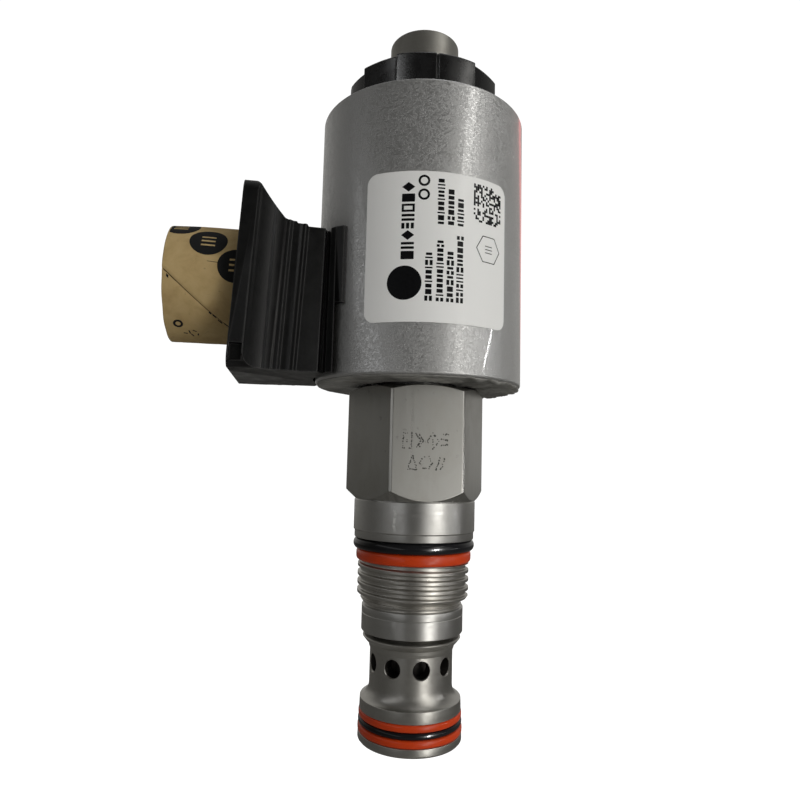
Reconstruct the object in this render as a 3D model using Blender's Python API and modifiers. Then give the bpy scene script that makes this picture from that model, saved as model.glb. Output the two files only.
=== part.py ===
"""Solenoid-operated spool cartridge valve, closed at rest.

The long axis is Z. z = 0 is the bottom of the floating nose, +Z points at the
coil nut, the electrical terminal points along -X and the rating label faces -Y.
Lengths are in millimetres and turn into metres in the helpers; angles are in
degrees. Names ending in _R are radii; _LOW, _TOP and _Z are heights.
"""
import math

import bmesh
import bpy

MM = 0.001
GAP = 0.3  # clearance between neighbouring pieces

# nose and cage
NOSE_R = 9.08
NOSE_BORE_R = 5.6
CAGE_R = 7.3
COLLAR_R = 8.7
SLEEVE_R = 6.6
SPOOL_BORE_R = 4.8
NOSE_BAND_TOP = 6.87
FLARE_TOP = 9.0
CAGE_TOP = 15.6
COLLAR_BOTTOM = 16.4
COLLAR_TOP = 17.6
SLEEVE_TOP = 37.0
GLAND_LOW, GLAND_HIGH = 1.6, 5.45
GLAND_R = 7.6
HOLE_Z = 13.5
HOLE_R = 1.45
HOLE_COUNT = 9
HOLE_FIRST_DEG = 4.2
HOLE_CENTRE_R = 7.2
SEAT_TOP = 2.0
SEAT_R = NOSE_BORE_R - GAP

# spool and return spring
SPOOL_LOW, SPOOL_TOP = 8.5, 36.0
SPOOL_R = 4.7
SPOOL_CUP_TOP = 11.0
SPRING_LOW = SEAT_TOP + GAP
SPRING_TOP = SPOOL_CUP_TOP - GAP
SPRING_R = 3.1
SPRING_WIRE_R = 0.38
SPRING_TURNS = 5
SPRING_TURN_STEPS = 11

# body
LAND2_R = 8.98
SHOULDER_Z = 18.4
SHOULDER_R = 8.76
LAND2_LINE_Z = 21.4
LAND2_TOP = 22.8
UNDERCUT_R = 8.4
THREAD_R = 9.9
THREAD_ROOT_R = 9.0
THREAD_PITCH = 1.5
THREAD_CRESTS = 4
THREAD_TOP = 30.4
SEAL_GROOVE_TOP = 34.45
SEAL_GROOVE_R = 8.6
RING_R = 10.67
LAND_R = 10.86
RING_TOP = 35.7
HEX_BOTTOM = 41.2
HEX_TOP = 60.8
HEX_AF = 21.8  # across flats
HEX_CORNER_R = 12.25
HEX_TURN_DEG = 0.35
BODY_BORE_R = 7.0
WIRE_Z = 27.0  # retaining wire, between the body and the nose sleeve
WIRE_GROOVE_LOW, WIRE_GROOVE_TOP = WIRE_Z - 0.65, WIRE_Z + 0.65

# solenoid tube
TUBE_R = 6.53
TUBE_BORE_R = 5.6
POLE_TOP = 87.0
POLE_STEP_Z = 82.0
TUBE_BOTTOM = POLE_TOP
TUBE_TOP = 127.5
STROKE = 2.8
ARMATURE_LOW = POLE_TOP + GAP + STROKE
ARMATURE_TOP = 108.0
ARMATURE_R = 5.25
PIN_R = 1.5
PLUG_R = 5.3
OVERRIDE_R = 1.7
OVERRIDE_STEP_Z = 110.3

# coil
COIL_R = 18.7
COIL_BORE_R = 7.05
COIL_WALL = 1.8
COIL_LOW = 61.4
COIL_TOP = 110.2
COIL_LID_T = 3.0
BOBBIN_LOW, BOBBIN_TOP = 67.1, 106.9
BOBBIN_FLANGE_R = 16.4
BOBBIN_FLANGE_T = 1.5
BOBBIN_CORE_R = 8.0
WASHER_LOW = 64.0

# nut
NUT_LOW = COIL_TOP + GAP
NUT_TOP = 118.3
NUT_LOBE_R = 14.1
NUT_VALLEY_R = 13.5
NUT_LOBES = 4
NUT_LOBE_FROM_DEG = -30.3
NUT_LOBE_SPAN_DEG = 59.6
NUT_VALLEY_INSET_DEG = 9
NUT_BORE_R = TUBE_R + 0.35

# terminal
FACE_X = -32.3
FLANGE_HALF = 13.5
TERM_LOW = 62.1
FLANGE_TOP = 93.2
FLANGE_CORNER_R = 2.4
NECK_TOP = 87.4
TERM_Z = 78.0
BLADE_SPACING = 17.8
BLADE_W = 6.0
BLADE_T = 0.8
BLADE_ROOT_X = -27.5
BLADE_TIP_X = -41.6
BLADE_TIP_CUT = 1.4
BOSS_END_X = FACE_X - 6.3
BOSS_LENGTH = 9.0
INSERT_HOLE_DEPTH = 8.0
GUARD_R = 10.3
GUARD_WALL = 0.45
GUARD_LENGTH = 11.5

# label
LABEL_R = COIL_R + 0.1
LABEL_T = 0.2
LABEL_LOW = 69.6
LABEL_TOP = 94.3
LABEL_HALF_DEG = 38.3
LABEL_CORNER_R = 1.8

# red, green, blue, metallic, roughness
MATERIALS = {
    "body_steel": (0.42, 0.42, 0.43, 0.9, 0.34),
    "nose_steel": (0.46, 0.46, 0.46, 0.9, 0.38),
    "seal_orange": (0.62, 0.10, 0.03, 0.0, 0.45),
    "seal_black": (0.015, 0.015, 0.017, 0.0, 0.35),
    "tube_steel": (0.45, 0.45, 0.46, 0.9, 0.3),
    "coil_silver": (0.36, 0.36, 0.37, 0.7, 0.45),
    "resin_dark": (0.035, 0.035, 0.035, 0.0, 0.7),
    "nut_plastic": (0.02, 0.02, 0.022, 0.0, 0.4),
    "terminal_plastic": (0.045, 0.047, 0.05, 0.0, 0.5),
    "kraft_paper": (0.42, 0.31, 0.19, 0.0, 0.85),
    "label_white": (0.85, 0.86, 0.87, 0.0, 0.3),
    "spool_steel": (0.55, 0.55, 0.56, 1.0, 0.2),
    "spring_steel": (0.35, 0.35, 0.37, 1.0, 0.3),
    "soft_iron": (0.38, 0.37, 0.36, 0.9, 0.4),
    "bronze": (0.5, 0.33, 0.16, 0.9, 0.35),
    "bobbin_plastic": (0.75, 0.73, 0.66, 0.0, 0.5),
    "copper_wire": (0.55, 0.22, 0.09, 0.9, 0.35),
    "tin_plate": (0.62, 0.62, 0.6, 0.9, 0.25),
    "brass": (0.62, 0.45, 0.16, 0.9, 0.3),
}

for old in list(bpy.data.objects):
    bpy.data.objects.remove(old, do_unlink=True)

valve = bpy.data.collections.new("solenoid_cartridge_valve")
cutters = bpy.data.collections.new("cutters")
bpy.context.scene.collection.children.link(valve)
bpy.context.scene.collection.children.link(cutters)


# ---------------------------------------------------------------- helpers

def new_material(name, kind):
    red, green, blue, metallic, roughness = MATERIALS[kind]
    made = bpy.data.materials.new(name)
    made.use_nodes = True
    inputs = made.node_tree.nodes["Principled BSDF"].inputs
    inputs["Base Color"].default_value = (red, green, blue, 1.0)
    inputs["Metallic"].default_value = metallic
    inputs["Roughness"].default_value = roughness
    return made


def add_object(name, mesh, kind):
    """Add a piece with its own material or, when kind is None, a hidden boolean tool."""
    obj = bpy.data.objects.new(name, mesh)
    if kind is None:
        cutters.objects.link(obj)
        obj.hide_render = True
        obj.display_type = "WIRE"
    else:
        valve.objects.link(obj)
        mesh.materials.append(new_material(name + "_" + kind, kind))
    return obj


def place(obj, at, turn=(0, 0, 0)):
    """Put an object's origin at a point and turn it about X, then Y, then Z."""
    obj.location = [value * MM for value in at]
    obj.rotation_euler = [math.radians(angle) for angle in turn]


def turned(name, profile, steps, kind, base=0.0, closed=True):
    """Turn (radius, z) points about Z; an open profile starts and ends on the axis."""
    mesh = bpy.data.meshes.new(name)
    points = [(radius * MM, 0.0, (z - base) * MM) for radius, z in profile]
    last = len(points) - 1
    edges = [(i, i + 1) for i in range(last)]
    if closed:
        edges.append((last, 0))
    mesh.from_pydata(points, edges, [])
    obj = add_object(name, mesh, kind)
    place(obj, (0, 0, base))
    screw = obj.modifiers.new("turn", "SCREW")
    screw.angle = 2 * math.pi
    screw.steps = steps
    screw.render_steps = steps
    screw.use_merge_vertices = True
    screw.merge_threshold = 0.00001
    screw.use_smooth_shade = True
    return obj


def flat_ring(name, outer_r, inner_r, low, high, steps, kind, base):
    """A ring of rectangular section."""
    profile = [(outer_r, high), (outer_r, low), (inner_r, low), (inner_r, high)]
    return turned(name, profile, steps, kind, base)


def o_ring(name, mid_r, mid_z, half_r, half_z, steps):
    """A ring of six-sided section."""
    profile = []
    for i in range(6):
        angle = math.pi / 2 - 2 * math.pi * (i + 0.5) / 6
        profile.append((mid_r + half_r * math.cos(angle), mid_z + half_z * math.sin(angle)))
    turned(name, profile, steps, "seal_black", base=mid_z)


def bmesh_to_mesh(builder, mesh):
    builder.to_mesh(mesh)
    builder.free()
    return mesh


def block_tool(name, low, high):
    """A boolean tool: the box between two corners."""
    builder = bmesh.new()
    bmesh.ops.create_cube(builder, size=1.0)
    for vert in builder.verts:
        for axis in range(3):
            vert.co[axis] *= (high[axis] - low[axis]) * MM
    obj = add_object(name, bmesh_to_mesh(builder, bpy.data.meshes.new(name)), None)
    place(obj, [(top + bottom) / 2 for bottom, top in zip(low, high)])
    return obj


def rod_tool(name, radius, length, sides, at, turn=(0, 0, 0)):
    """A boolean tool: a rod along its local Z, centred on a point."""
    builder = bmesh.new()
    bmesh.ops.create_cone(builder, cap_ends=True, cap_tris=False, segments=sides,
                          radius1=radius * MM, radius2=radius * MM, depth=length * MM)
    obj = add_object(name, bmesh_to_mesh(builder, bpy.data.meshes.new(name)), None)
    place(obj, at, turn)
    return obj


def curve_mesh(name, curve, points, cyclic):
    """Run a curve through the points and return its solid as a welded mesh."""
    spline = curve.splines.new("POLY")
    spline.points.add(len(points) - 1)
    for target, (x, y, z) in zip(spline.points, points):
        target.co = (x * MM, y * MM, z * MM, 1.0)
    spline.use_cyclic_u = cyclic
    temp = bpy.data.objects.new(name + "_curve", curve)
    bpy.context.scene.collection.objects.link(temp)
    bpy.context.view_layer.update()
    shape = temp.evaluated_get(bpy.context.evaluated_depsgraph_get())
    mesh = bpy.data.meshes.new_from_object(shape)
    bpy.data.objects.remove(temp, do_unlink=True)
    builder = bmesh.new()
    builder.from_mesh(mesh)
    bmesh.ops.remove_doubles(builder, verts=builder.verts, dist=0.000001)
    bmesh.ops.recalc_face_normals(builder, faces=builder.faces)
    mesh.name = name
    return bmesh_to_mesh(builder, mesh)


def prism(name, outline, low, high, kind):
    """A flat outline in XY pulled along Z from low to high."""
    curve = bpy.data.curves.new(name, "CURVE")
    curve.dimensions = "2D"
    curve.fill_mode = "BOTH"
    curve.extrude = (high - low) / 2 * MM
    mesh = curve_mesh(name, curve, [(x, y, 0.0) for x, y in outline], True)
    obj = add_object(name, mesh, kind)
    place(obj, (0, 0, (high + low) / 2))
    return obj


def wire(name, points, radius, base):
    """A bent wire with filled ends; its points are measured from the base height."""
    curve = bpy.data.curves.new(name, "CURVE")
    curve.dimensions = "3D"
    curve.bevel_depth = radius * MM
    curve.bevel_resolution = 1
    curve.use_fill_caps = True
    mesh = curve_mesh(name, curve, points, False)
    for face in mesh.polygons:
        face.use_smooth = True
    place(add_object(name, mesh, "spring_steel"), (0, 0, base))


def boolean(obj, tool, operation="DIFFERENCE"):
    modifier = obj.modifiers.new(tool.name, "BOOLEAN")
    modifier.operation = operation
    modifier.solver = "EXACT"
    modifier.object = tool


def arc(centre_x, centre_y, radius, start, end, count):
    points = []
    for i in range(count + 1):
        angle = math.radians(start + (end - start) * i / count)
        points.append((centre_x + radius * math.cos(angle), centre_y + radius * math.sin(angle)))
    return points


def rounded_rectangle(half_x, low_y, high_y, radius):
    side_x, low, high = half_x - radius, low_y + radius, high_y - radius
    centres = [(side_x, low), (side_x, high), (-side_x, high), (-side_x, low)]
    points = []
    for i, (x, y) in enumerate(centres):
        points += arc(x, y, radius, 90 * i - 90, 90 * i, 4)
    return points


# ---------------------------------------------------------------- valve body

# Profiles here and below are (radius, z) points, mostly down the outside and up the bore.
thread = []
for i in range(THREAD_CRESTS):
    crest_z = THREAD_TOP - 0.65 - THREAD_PITCH * i
    # the lowest crest is a little smaller
    crest_r = THREAD_R if i < THREAD_CRESTS - 1 else THREAD_R - 0.15
    thread += [(crest_r, crest_z + 0.12), (crest_r, crest_z - 0.12),
               (THREAD_ROOT_R, crest_z - 0.75)]

body_profile = [
    (0.0, 46.0), (9.6, 46.0), (9.6, 41.5), (LAND_R - 0.1, 41.5), (LAND_R, 41.15),
    (LAND_R, RING_TOP), (RING_R, RING_TOP - 0.15), (RING_R, SEAL_GROOVE_TOP),
    (SEAL_GROOVE_R, SEAL_GROOVE_TOP), (SEAL_GROOVE_R, THREAD_TOP), (THREAD_ROOT_R, THREAD_TOP),
    *thread,
    (UNDERCUT_R, LAND2_TOP + 0.75), (UNDERCUT_R, LAND2_TOP + 0.1),
    (LAND2_R, LAND2_TOP - 0.3), (LAND2_R, LAND2_LINE_Z + 0.12),
    (LAND2_R - 0.1, LAND2_LINE_Z), (LAND2_R, LAND2_LINE_Z - 0.12),
    (LAND2_R, SHOULDER_Z + 0.06), (LAND2_R - 0.04, SHOULDER_Z), (SHOULDER_R, SHOULDER_Z),
    (SHOULDER_R, SHOULDER_Z + 0.1), (0.0, SHOULDER_Z + 0.1),
]
valve_body = turned("valve_body", body_profile, 32, "body_steel", SHOULDER_Z, closed=False)

# a flat of the hexagon faces -Y, a little turned
hexagon = rod_tool("hexagon", HEX_AF / math.sqrt(3), HEX_TOP - HEX_BOTTOM, 6,
                   (0, 0, (HEX_TOP + HEX_BOTTOM) / 2), (0, 0, 30 + HEX_TURN_DEG))
# its corners are turned down to a cylinder, with a flat chamfer above and a steeper one below
hex_chamfer = turned("hex_chamfer", [
    (0.0, HEX_TOP + 0.01), (HEX_AF / 2 - 0.05, HEX_TOP + 0.01), (HEX_CORNER_R, HEX_TOP - 0.83),
    (HEX_CORNER_R, HEX_BOTTOM + 1.6), (LAND_R, HEX_BOTTOM - 0.01), (0.0, HEX_BOTTOM - 0.01),
], 48, None, closed=False)
boolean(hexagon, hex_chamfer, "INTERSECT")
boolean(valve_body, hexagon, "UNION")

# stepped bore, with the outer half of the retaining wire's groove
body_bore = turned("body_bore", [
    (0.0, 62.0), (5.5, 62.0), (5.5, 50.0), (3.0, 50.0), (3.0, 38.0), (BODY_BORE_R, 38.0),
    (BODY_BORE_R, WIRE_GROOVE_TOP), (7.6, WIRE_GROOVE_TOP), (7.6, WIRE_GROOVE_LOW),
    (BODY_BORE_R, WIRE_GROOVE_LOW), (BODY_BORE_R, 17.0), (0.0, 17.0),
], 24, None, closed=False)
boolean(valve_body, body_bore)

flat_ring("body_backup_ring", 10.2, 8.95, 30.7, 32.3, 32, "seal_orange", base=31.5)
o_ring("body_o_ring", 9.9, 33.4, 0.9, 0.85, 32)

# the retaining wire is open for 30 degrees, centred on +X
wire("nose_retaining_wire", [(x, y, 0.0) for x, y in arc(0, 0, 6.95, 15, 345, 18)], 0.33, WIRE_Z)

# ---------------------------------------------------------------- solenoid tube

turned("pole_piece", [
    (5.2, POLE_TOP), (5.2, POLE_STEP_Z), (TUBE_R, POLE_STEP_Z), (TUBE_R, HEX_TOP + GAP),
    (5.2, HEX_TOP + GAP), (5.2, 54.4), (3.6, 54.4), (3.6, 52.0), (5.2, 52.0), (5.2, 50.7),
    (4.8, 50.3), (PIN_R + GAP, 50.3), (PIN_R + GAP, 85.6), (3.2, POLE_TOP),
], 24, "soft_iron", base=HEX_TOP)
o_ring("pole_o_ring", 4.6, 53.2, 0.65, 0.8, 20)
flat_ring("nonmagnetic_ring", TUBE_R, TUBE_BORE_R, POLE_STEP_Z + GAP, TUBE_BOTTOM - GAP,
          24, "bronze", base=POLE_STEP_Z + GAP)
turned("guide_tube", [
    (6.2, TUBE_TOP), (TUBE_R - 0.08, TUBE_TOP - 0.12), (TUBE_R, TUBE_TOP - 0.35),
    (TUBE_R, TUBE_BOTTOM), (TUBE_BORE_R, TUBE_BOTTOM), (TUBE_BORE_R, TUBE_TOP),
], 32, "tube_steel", base=TUBE_BOTTOM)

# end plug with an outer and an inner seal groove
plug_low = OVERRIDE_STEP_Z + GAP
plug_bore_r = OVERRIDE_R + GAP
turned("tube_end_plug", [
    (5.1, TUBE_TOP - 0.2), (PLUG_R, TUBE_TOP - 0.4), (PLUG_R, 118.2), (3.9, 118.2),
    (3.9, 115.8), (PLUG_R, 115.8), (PLUG_R, plug_low + 0.3), (5.0, plug_low),
    (plug_bore_r, plug_low), (plug_bore_r, 119.3), (2.9, 119.3), (2.9, 120.7),
    (plug_bore_r, 120.7), (plug_bore_r, TUBE_TOP - 0.2),
], 20, "tube_steel", base=117.0)
o_ring("plug_o_ring", 4.68, 117.0, 0.5, 0.8, 20)
o_ring("override_o_ring", 2.25, 120.0, 0.33, 0.36, 14)
turned("override_pin", [
    (0.0, TUBE_TOP - 0.5), (1.4, TUBE_TOP - 0.5), (OVERRIDE_R, TUBE_TOP - 0.8),
    (OVERRIDE_R, OVERRIDE_STEP_Z), (3.0, OVERRIDE_STEP_Z), (3.0, ARMATURE_TOP + GAP),
    (0.0, ARMATURE_TOP + GAP),
], 16, "spool_steel", base=118.0, closed=False)

armature = turned("armature", [
    (0.0, ARMATURE_TOP), (ARMATURE_R - 0.3, ARMATURE_TOP), (ARMATURE_R, ARMATURE_TOP - 0.3),
    (ARMATURE_R, ARMATURE_LOW + 0.3), (ARMATURE_R - 0.3, ARMATURE_LOW), (0.0, ARMATURE_LOW),
], 24, "soft_iron", base=ARMATURE_LOW, closed=False)
# a lengthwise groove on the +Y side and one on the -Y side
for i, (low_y, high_y) in enumerate(((4.3, 6.5), (-6.5, -4.3))):
    boolean(armature, block_tool("armature_groove_%d" % (i + 1), (-0.6, low_y, ARMATURE_LOW - 1),
                                 (0.6, high_y, ARMATURE_TOP + 1)))

# the push pin spans from the armature to the spool
pin_low = SPOOL_TOP + GAP
pin_top = ARMATURE_LOW - GAP
turned("push_pin", [
    (0.0, pin_top), (PIN_R - 0.2, pin_top), (PIN_R, pin_top - 0.2),
    (PIN_R, pin_low + 0.2), (PIN_R - 0.2, pin_low), (0.0, pin_low),
], 12, "spool_steel", base=60.0, closed=False)

# ---------------------------------------------------------------- floating nose

# S-shaped widening from the cage down to the nose band
flare = []
for i in range(4):
    share = i / 3
    widening = (share * share * (3 - 2 * share)) ** 0.9
    flare.append((CAGE_R + (NOSE_R - 0.25 - CAGE_R) * widening,
                  FLARE_TOP + (NOSE_BAND_TOP - FLARE_TOP) * share))
nose_sleeve = turned("nose_sleeve", [
    (SLEEVE_R - 0.4, SLEEVE_TOP), (SLEEVE_R, SLEEVE_TOP - 0.4), (SLEEVE_R, WIRE_GROOVE_TOP),
    (6.3, WIRE_GROOVE_TOP), (6.3, WIRE_GROOVE_LOW), (SLEEVE_R, WIRE_GROOVE_LOW),
    (SLEEVE_R, COLLAR_TOP), (COLLAR_R - 0.15, COLLAR_TOP), (COLLAR_R, COLLAR_TOP - 0.2),
    (8.0, COLLAR_BOTTOM), (CAGE_R, CAGE_TOP),
    *flare,
    (NOSE_R, NOSE_BAND_TOP - 0.2), (NOSE_R, GLAND_HIGH), (GLAND_R, GLAND_HIGH),
    (GLAND_R, GLAND_LOW), (NOSE_R, GLAND_LOW), (NOSE_R, 1.0), (NOSE_R - 0.3, 0.35),
    (NOSE_R - 0.9, 0.0), (NOSE_BORE_R, 0.0), (NOSE_BORE_R, 2.3), (SPOOL_BORE_R, 2.3),
    (SPOOL_BORE_R, SLEEVE_TOP),
], 32, "nose_steel")
# radial holes, counted from -Y towards +X
for i in range(HOLE_COUNT):
    turn = HOLE_FIRST_DEG + 360.0 / HOLE_COUNT * i
    x = HOLE_CENTRE_R * math.sin(math.radians(turn))
    y = -HOLE_CENTRE_R * math.cos(math.radians(turn))
    boolean(nose_sleeve, rod_tool("cross_hole_%d" % (i + 1), HOLE_R, 6.0, 12,
                                  (x, y, HOLE_Z), (90, 0, turn)))

# an O-ring between two backup rings
for name, mid_z in (("nose_backup_lower", 2.3), ("nose_backup_upper", 4.8)):
    flat_ring(name, NOSE_R, 7.9, mid_z - 0.5, mid_z + 0.5, 32, "seal_orange", base=mid_z)
o_ring("nose_o_ring", 8.55, 3.55, 0.66, 0.58, 32)

seat = turned("spring_seat", [
    (0.0, SEAT_TOP), (SEAT_R - 0.2, SEAT_TOP), (SEAT_R, SEAT_TOP - 0.2), (SEAT_R, 0.0), (0.0, 0.0),
], 20, "spool_steel", closed=False)
for i in range(4):
    angle = math.radians(45 + 90 * i)
    boolean(seat, rod_tool("seat_hole_%d" % (i + 1), 0.8, 6.0, 8,
                           (3.2 * math.cos(angle), 3.2 * math.sin(angle), SEAT_TOP / 2)))

spring_points = []
spring_steps = SPRING_TURNS * SPRING_TURN_STEPS
for i in range(spring_steps + 1):
    share = i / spring_steps
    # the turns near the ends climb less than the free ones
    rise = share - 0.55 / (2 * math.pi) * math.sin(2 * math.pi * share)
    angle = 2 * math.pi * SPRING_TURNS * share
    z = SPRING_WIRE_R + (SPRING_TOP - SPRING_LOW - 2 * SPRING_WIRE_R) * rise
    spring_points.append((SPRING_R * math.cos(angle), SPRING_R * math.sin(angle), z))
wire("return_spring", spring_points, SPRING_WIRE_R, SPRING_LOW)

# spool: three narrow grooves, a wide one at the holes, and a stepped blind bore
narrow_grooves = []
for z in (30.0, 26.0, 22.0):
    narrow_grooves += [(SPOOL_R, z + 0.3), (4.4, z + 0.2), (4.4, z - 0.2), (SPOOL_R, z - 0.3)]
spool = turned("spool", [
    (0.0, SPOOL_TOP), (4.0, SPOOL_TOP), (SPOOL_R, SPOOL_TOP - 0.5),
    *narrow_grooves,
    (SPOOL_R, 17.7), (4.1, 17.4), (4.1, 15.8), (SPOOL_R, 15.5), (SPOOL_R, SPOOL_LOW + 0.2),
    (SPOOL_R - 0.2, SPOOL_LOW), (3.7, SPOOL_LOW), (3.7, SPOOL_CUP_TOP), (2.5, SPOOL_CUP_TOP),
    (2.5, 18.4), (0.0, 19.2),
], 24, "spool_steel", base=SPOOL_LOW, closed=False)
for i in range(2):
    boolean(spool, rod_tool("spool_hole_%d" % (i + 1), 0.75, 12.0, 8,
                            (0, 0, 16.6), (90, 0, 45 + 90 * i)))

# ---------------------------------------------------------------- coil

shell_inner_r = COIL_R - COIL_WALL
coil_shell = turned("coil_shell", [
    (COIL_R - 0.35, COIL_TOP), (COIL_R, COIL_TOP - 0.35), (COIL_R, COIL_LOW + 0.25),
    (COIL_R - 0.25, COIL_LOW), (shell_inner_r, COIL_LOW), (shell_inner_r, COIL_TOP - COIL_LID_T),
    (COIL_BORE_R, COIL_TOP - COIL_LID_T), (COIL_BORE_R, COIL_TOP),
], 48, "coil_silver", base=COIL_LOW)
boolean(coil_shell, block_tool("lead_window", (-20.5, -4.0, TERM_Z - 5.0),
                               (-15.5, 4.0, TERM_Z + 5.0)))

core_low = BOBBIN_LOW + BOBBIN_FLANGE_T
core_top = BOBBIN_TOP - BOBBIN_FLANGE_T
turned("coil_bobbin", [
    (BOBBIN_FLANGE_R, BOBBIN_TOP), (BOBBIN_FLANGE_R, core_top), (BOBBIN_CORE_R, core_top),
    (BOBBIN_CORE_R, core_low), (BOBBIN_FLANGE_R, core_low), (BOBBIN_FLANGE_R, BOBBIN_LOW),
    (COIL_BORE_R, BOBBIN_LOW), (COIL_BORE_R, BOBBIN_TOP),
], 24, "bobbin_plastic", base=BOBBIN_LOW)

# the winding's outside waves gently between two radii
winding_low, winding_top = core_low + GAP, core_top - GAP
winding_inner_r = BOBBIN_CORE_R + GAP
waves = [(15.6 if i % 2 else 15.9, 101.0 - 6.0 * i) for i in range(5)]
turned("coil_winding", [
    (15.6, winding_top), *waves, (15.6, winding_low),
    (winding_inner_r, winding_low), (winding_inner_r, winding_top),
], 24, "copper_wire", base=winding_low)

flat_ring("coil_flux_washer", 16.5, COIL_BORE_R, WASHER_LOW, BOBBIN_LOW - GAP,
          28, "soft_iron", base=WASHER_LOW)
turned("coil_potting", [
    (16.5, WASHER_LOW - GAP), (16.5, 61.6), (15.6, 61.3), (13.0, 61.5), (10.6, 61.3),
    (9.2, 61.6), (9.2, WASHER_LOW - GAP),
], 28, "resin_dark", base=61.2)
o_ring("coil_lower_seal", 7.95, 62.35, 0.8, 0.85, 20)

# rating label: an oversize curved strip trimmed to a rounded rectangle
label_from = -90 - LABEL_HALF_DEG - 2
label_to = -90 + LABEL_HALF_DEG + 2
strip = arc(0, 0, LABEL_R + LABEL_T, label_from, label_to, 20)
strip += reversed(arc(0, 0, LABEL_R, label_from, label_to, 20))
label = prism("rating_label", strip, LABEL_LOW - 1, LABEL_TOP + 1, "label_white")
label_half = (LABEL_R + LABEL_T) * math.sin(math.radians(LABEL_HALF_DEG))
label_trim = prism("label_trim",
                   rounded_rectangle(label_half, LABEL_LOW, LABEL_TOP, LABEL_CORNER_R),
                   0.0, 25.0, None)
place(label_trim, (0, -12.5, 0), (90, 0, 0))
boolean(label, label_trim, "INTERSECT")

# ---------------------------------------------------------------- coil nut

outline = []
for i in range(NUT_LOBES):
    lobe_from = -90 + NUT_LOBE_FROM_DEG + 90 * i
    lobe_to = lobe_from + NUT_LOBE_SPAN_DEG
    outline += arc(0, 0, NUT_LOBE_R, lobe_from, lobe_to, 7)
    outline += arc(0, 0, NUT_VALLEY_R, lobe_to + NUT_VALLEY_INSET_DEG,
                   lobe_from + 90 - NUT_VALLEY_INSET_DEG, 2)
coil_nut = prism("coil_nut", outline, NUT_LOW, NUT_TOP, "nut_plastic")
bevel = coil_nut.modifiers.new("soften", "BEVEL")
bevel.width = 0.35 * MM
bevel.segments = 1
bevel.limit_method = "ANGLE"
bevel.angle_limit = math.radians(60.0)
nut_bore = turned("nut_bore", [
    (0.0, NUT_TOP + 2), (8.2, NUT_TOP + 2), (8.2, NUT_TOP + 0.01), (NUT_BORE_R, NUT_TOP - 1.3),
    (NUT_BORE_R, 112.3), (8.9, 112.3), (8.9, NUT_LOW - 2), (0.0, NUT_LOW - 2),
], 24, None, closed=False)
boolean(coil_nut, nut_bore)
o_ring("nut_seal_ring", 7.85, 111.2, 0.7, 0.68, 20)

# ---------------------------------------------------------------- electrical terminal

# (x, half width along Y), from the outer face in to the coil
TERMINAL_SIDE = [
    (FACE_X, FLANGE_HALF), (-29.7, FLANGE_HALF), (-29.2, 13.2), (-28.7, 11.9), (-27.9, 11.2),
    (-26.4, 10.9), (-23.7, 10.9), (-23.4, 11.15), (-23.1, 10.5), (-21.8, 10.4), (-21.5, 10.6),
    (-21.2, 9.5), (-18.8, 9.4), (-18.6, 8.4), (-17.6, 8.4), (-17.3, 9.6), (-15.8, 9.9),
    (-10.0, 9.9),
]
OUTWARD = (0, -90, 0)  # turns local Z to -X

plan = [(x, -half) for x, half in TERMINAL_SIDE]
plan += [(x, half) for x, half in reversed(TERMINAL_SIDE)]
terminal = prism("terminal_housing", plan, TERM_LOW, FLANGE_TOP, "terminal_plastic")

# lower the neck behind the flange; the outline is (x, z)
top_cut = prism("terminal_top_cut", [
    (-29.3, FLANGE_TOP), (-25.3, NECK_TOP + 0.3), (-24.9, NECK_TOP), (0.0, NECK_TOP),
    (0.0, 100.0), (-29.3, 100.0),
], -20.0, 20.0, None)
place(top_cut, (0, 0, 0), (90, 0, 0))
boolean(terminal, top_cut)

corner_trim = prism("terminal_corner_trim",
                    rounded_rectangle(FLANGE_HALF, TERM_LOW, FLANGE_TOP, FLANGE_CORNER_R),
                    -20.0, 20.0, None)
# local x runs across the face, local y up, local z out along -X
place(corner_trim, (-25.0, 0, 0), (90, 0, -90))
boolean(terminal, corner_trim, "INTERSECT")

shell_cut = turned("terminal_shell_cut", [
    (0.0, 100.0), (COIL_R + GAP, 100.0), (COIL_R + GAP, 55.0), (0.0, 55.0),
], 48, None, closed=False)
boolean(terminal, shell_cut)

# the tongue reaches through the coil shell's window
tongue = block_tool("terminal_tongue", (-21.5, -3.6, TERM_Z - 4.6), (-17.0, 3.6, TERM_Z + 4.6))
boolean(terminal, tongue, "UNION")
plinth = rod_tool("terminal_plinth", 8.1, 4.0, 32, (FACE_X + 0.7, 0, TERM_Z), OUTWARD)
boolean(terminal, plinth, "UNION")
screw_boss = rod_tool("terminal_screw_boss", 3.4, BOSS_LENGTH, 20,
                      (BOSS_END_X + BOSS_LENGTH / 2, 0, TERM_Z), OUTWARD)
boolean(terminal, screw_boss, "UNION")
insert_hole = rod_tool("terminal_insert_hole", 2.5, INSERT_HOLE_DEPTH, 20,
                       (BOSS_END_X + INSERT_HOLE_DEPTH / 2 - 0.2, 0, TERM_Z), OUTWARD)
boolean(terminal, insert_hole)
side_notch = block_tool("terminal_side_notch", (FACE_X - 1, -FLANGE_HALF - 1, 62.9),
                        (FACE_X + 1.7, -FLANGE_HALF + 0.7, 65.4))
boolean(terminal, side_notch)


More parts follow.
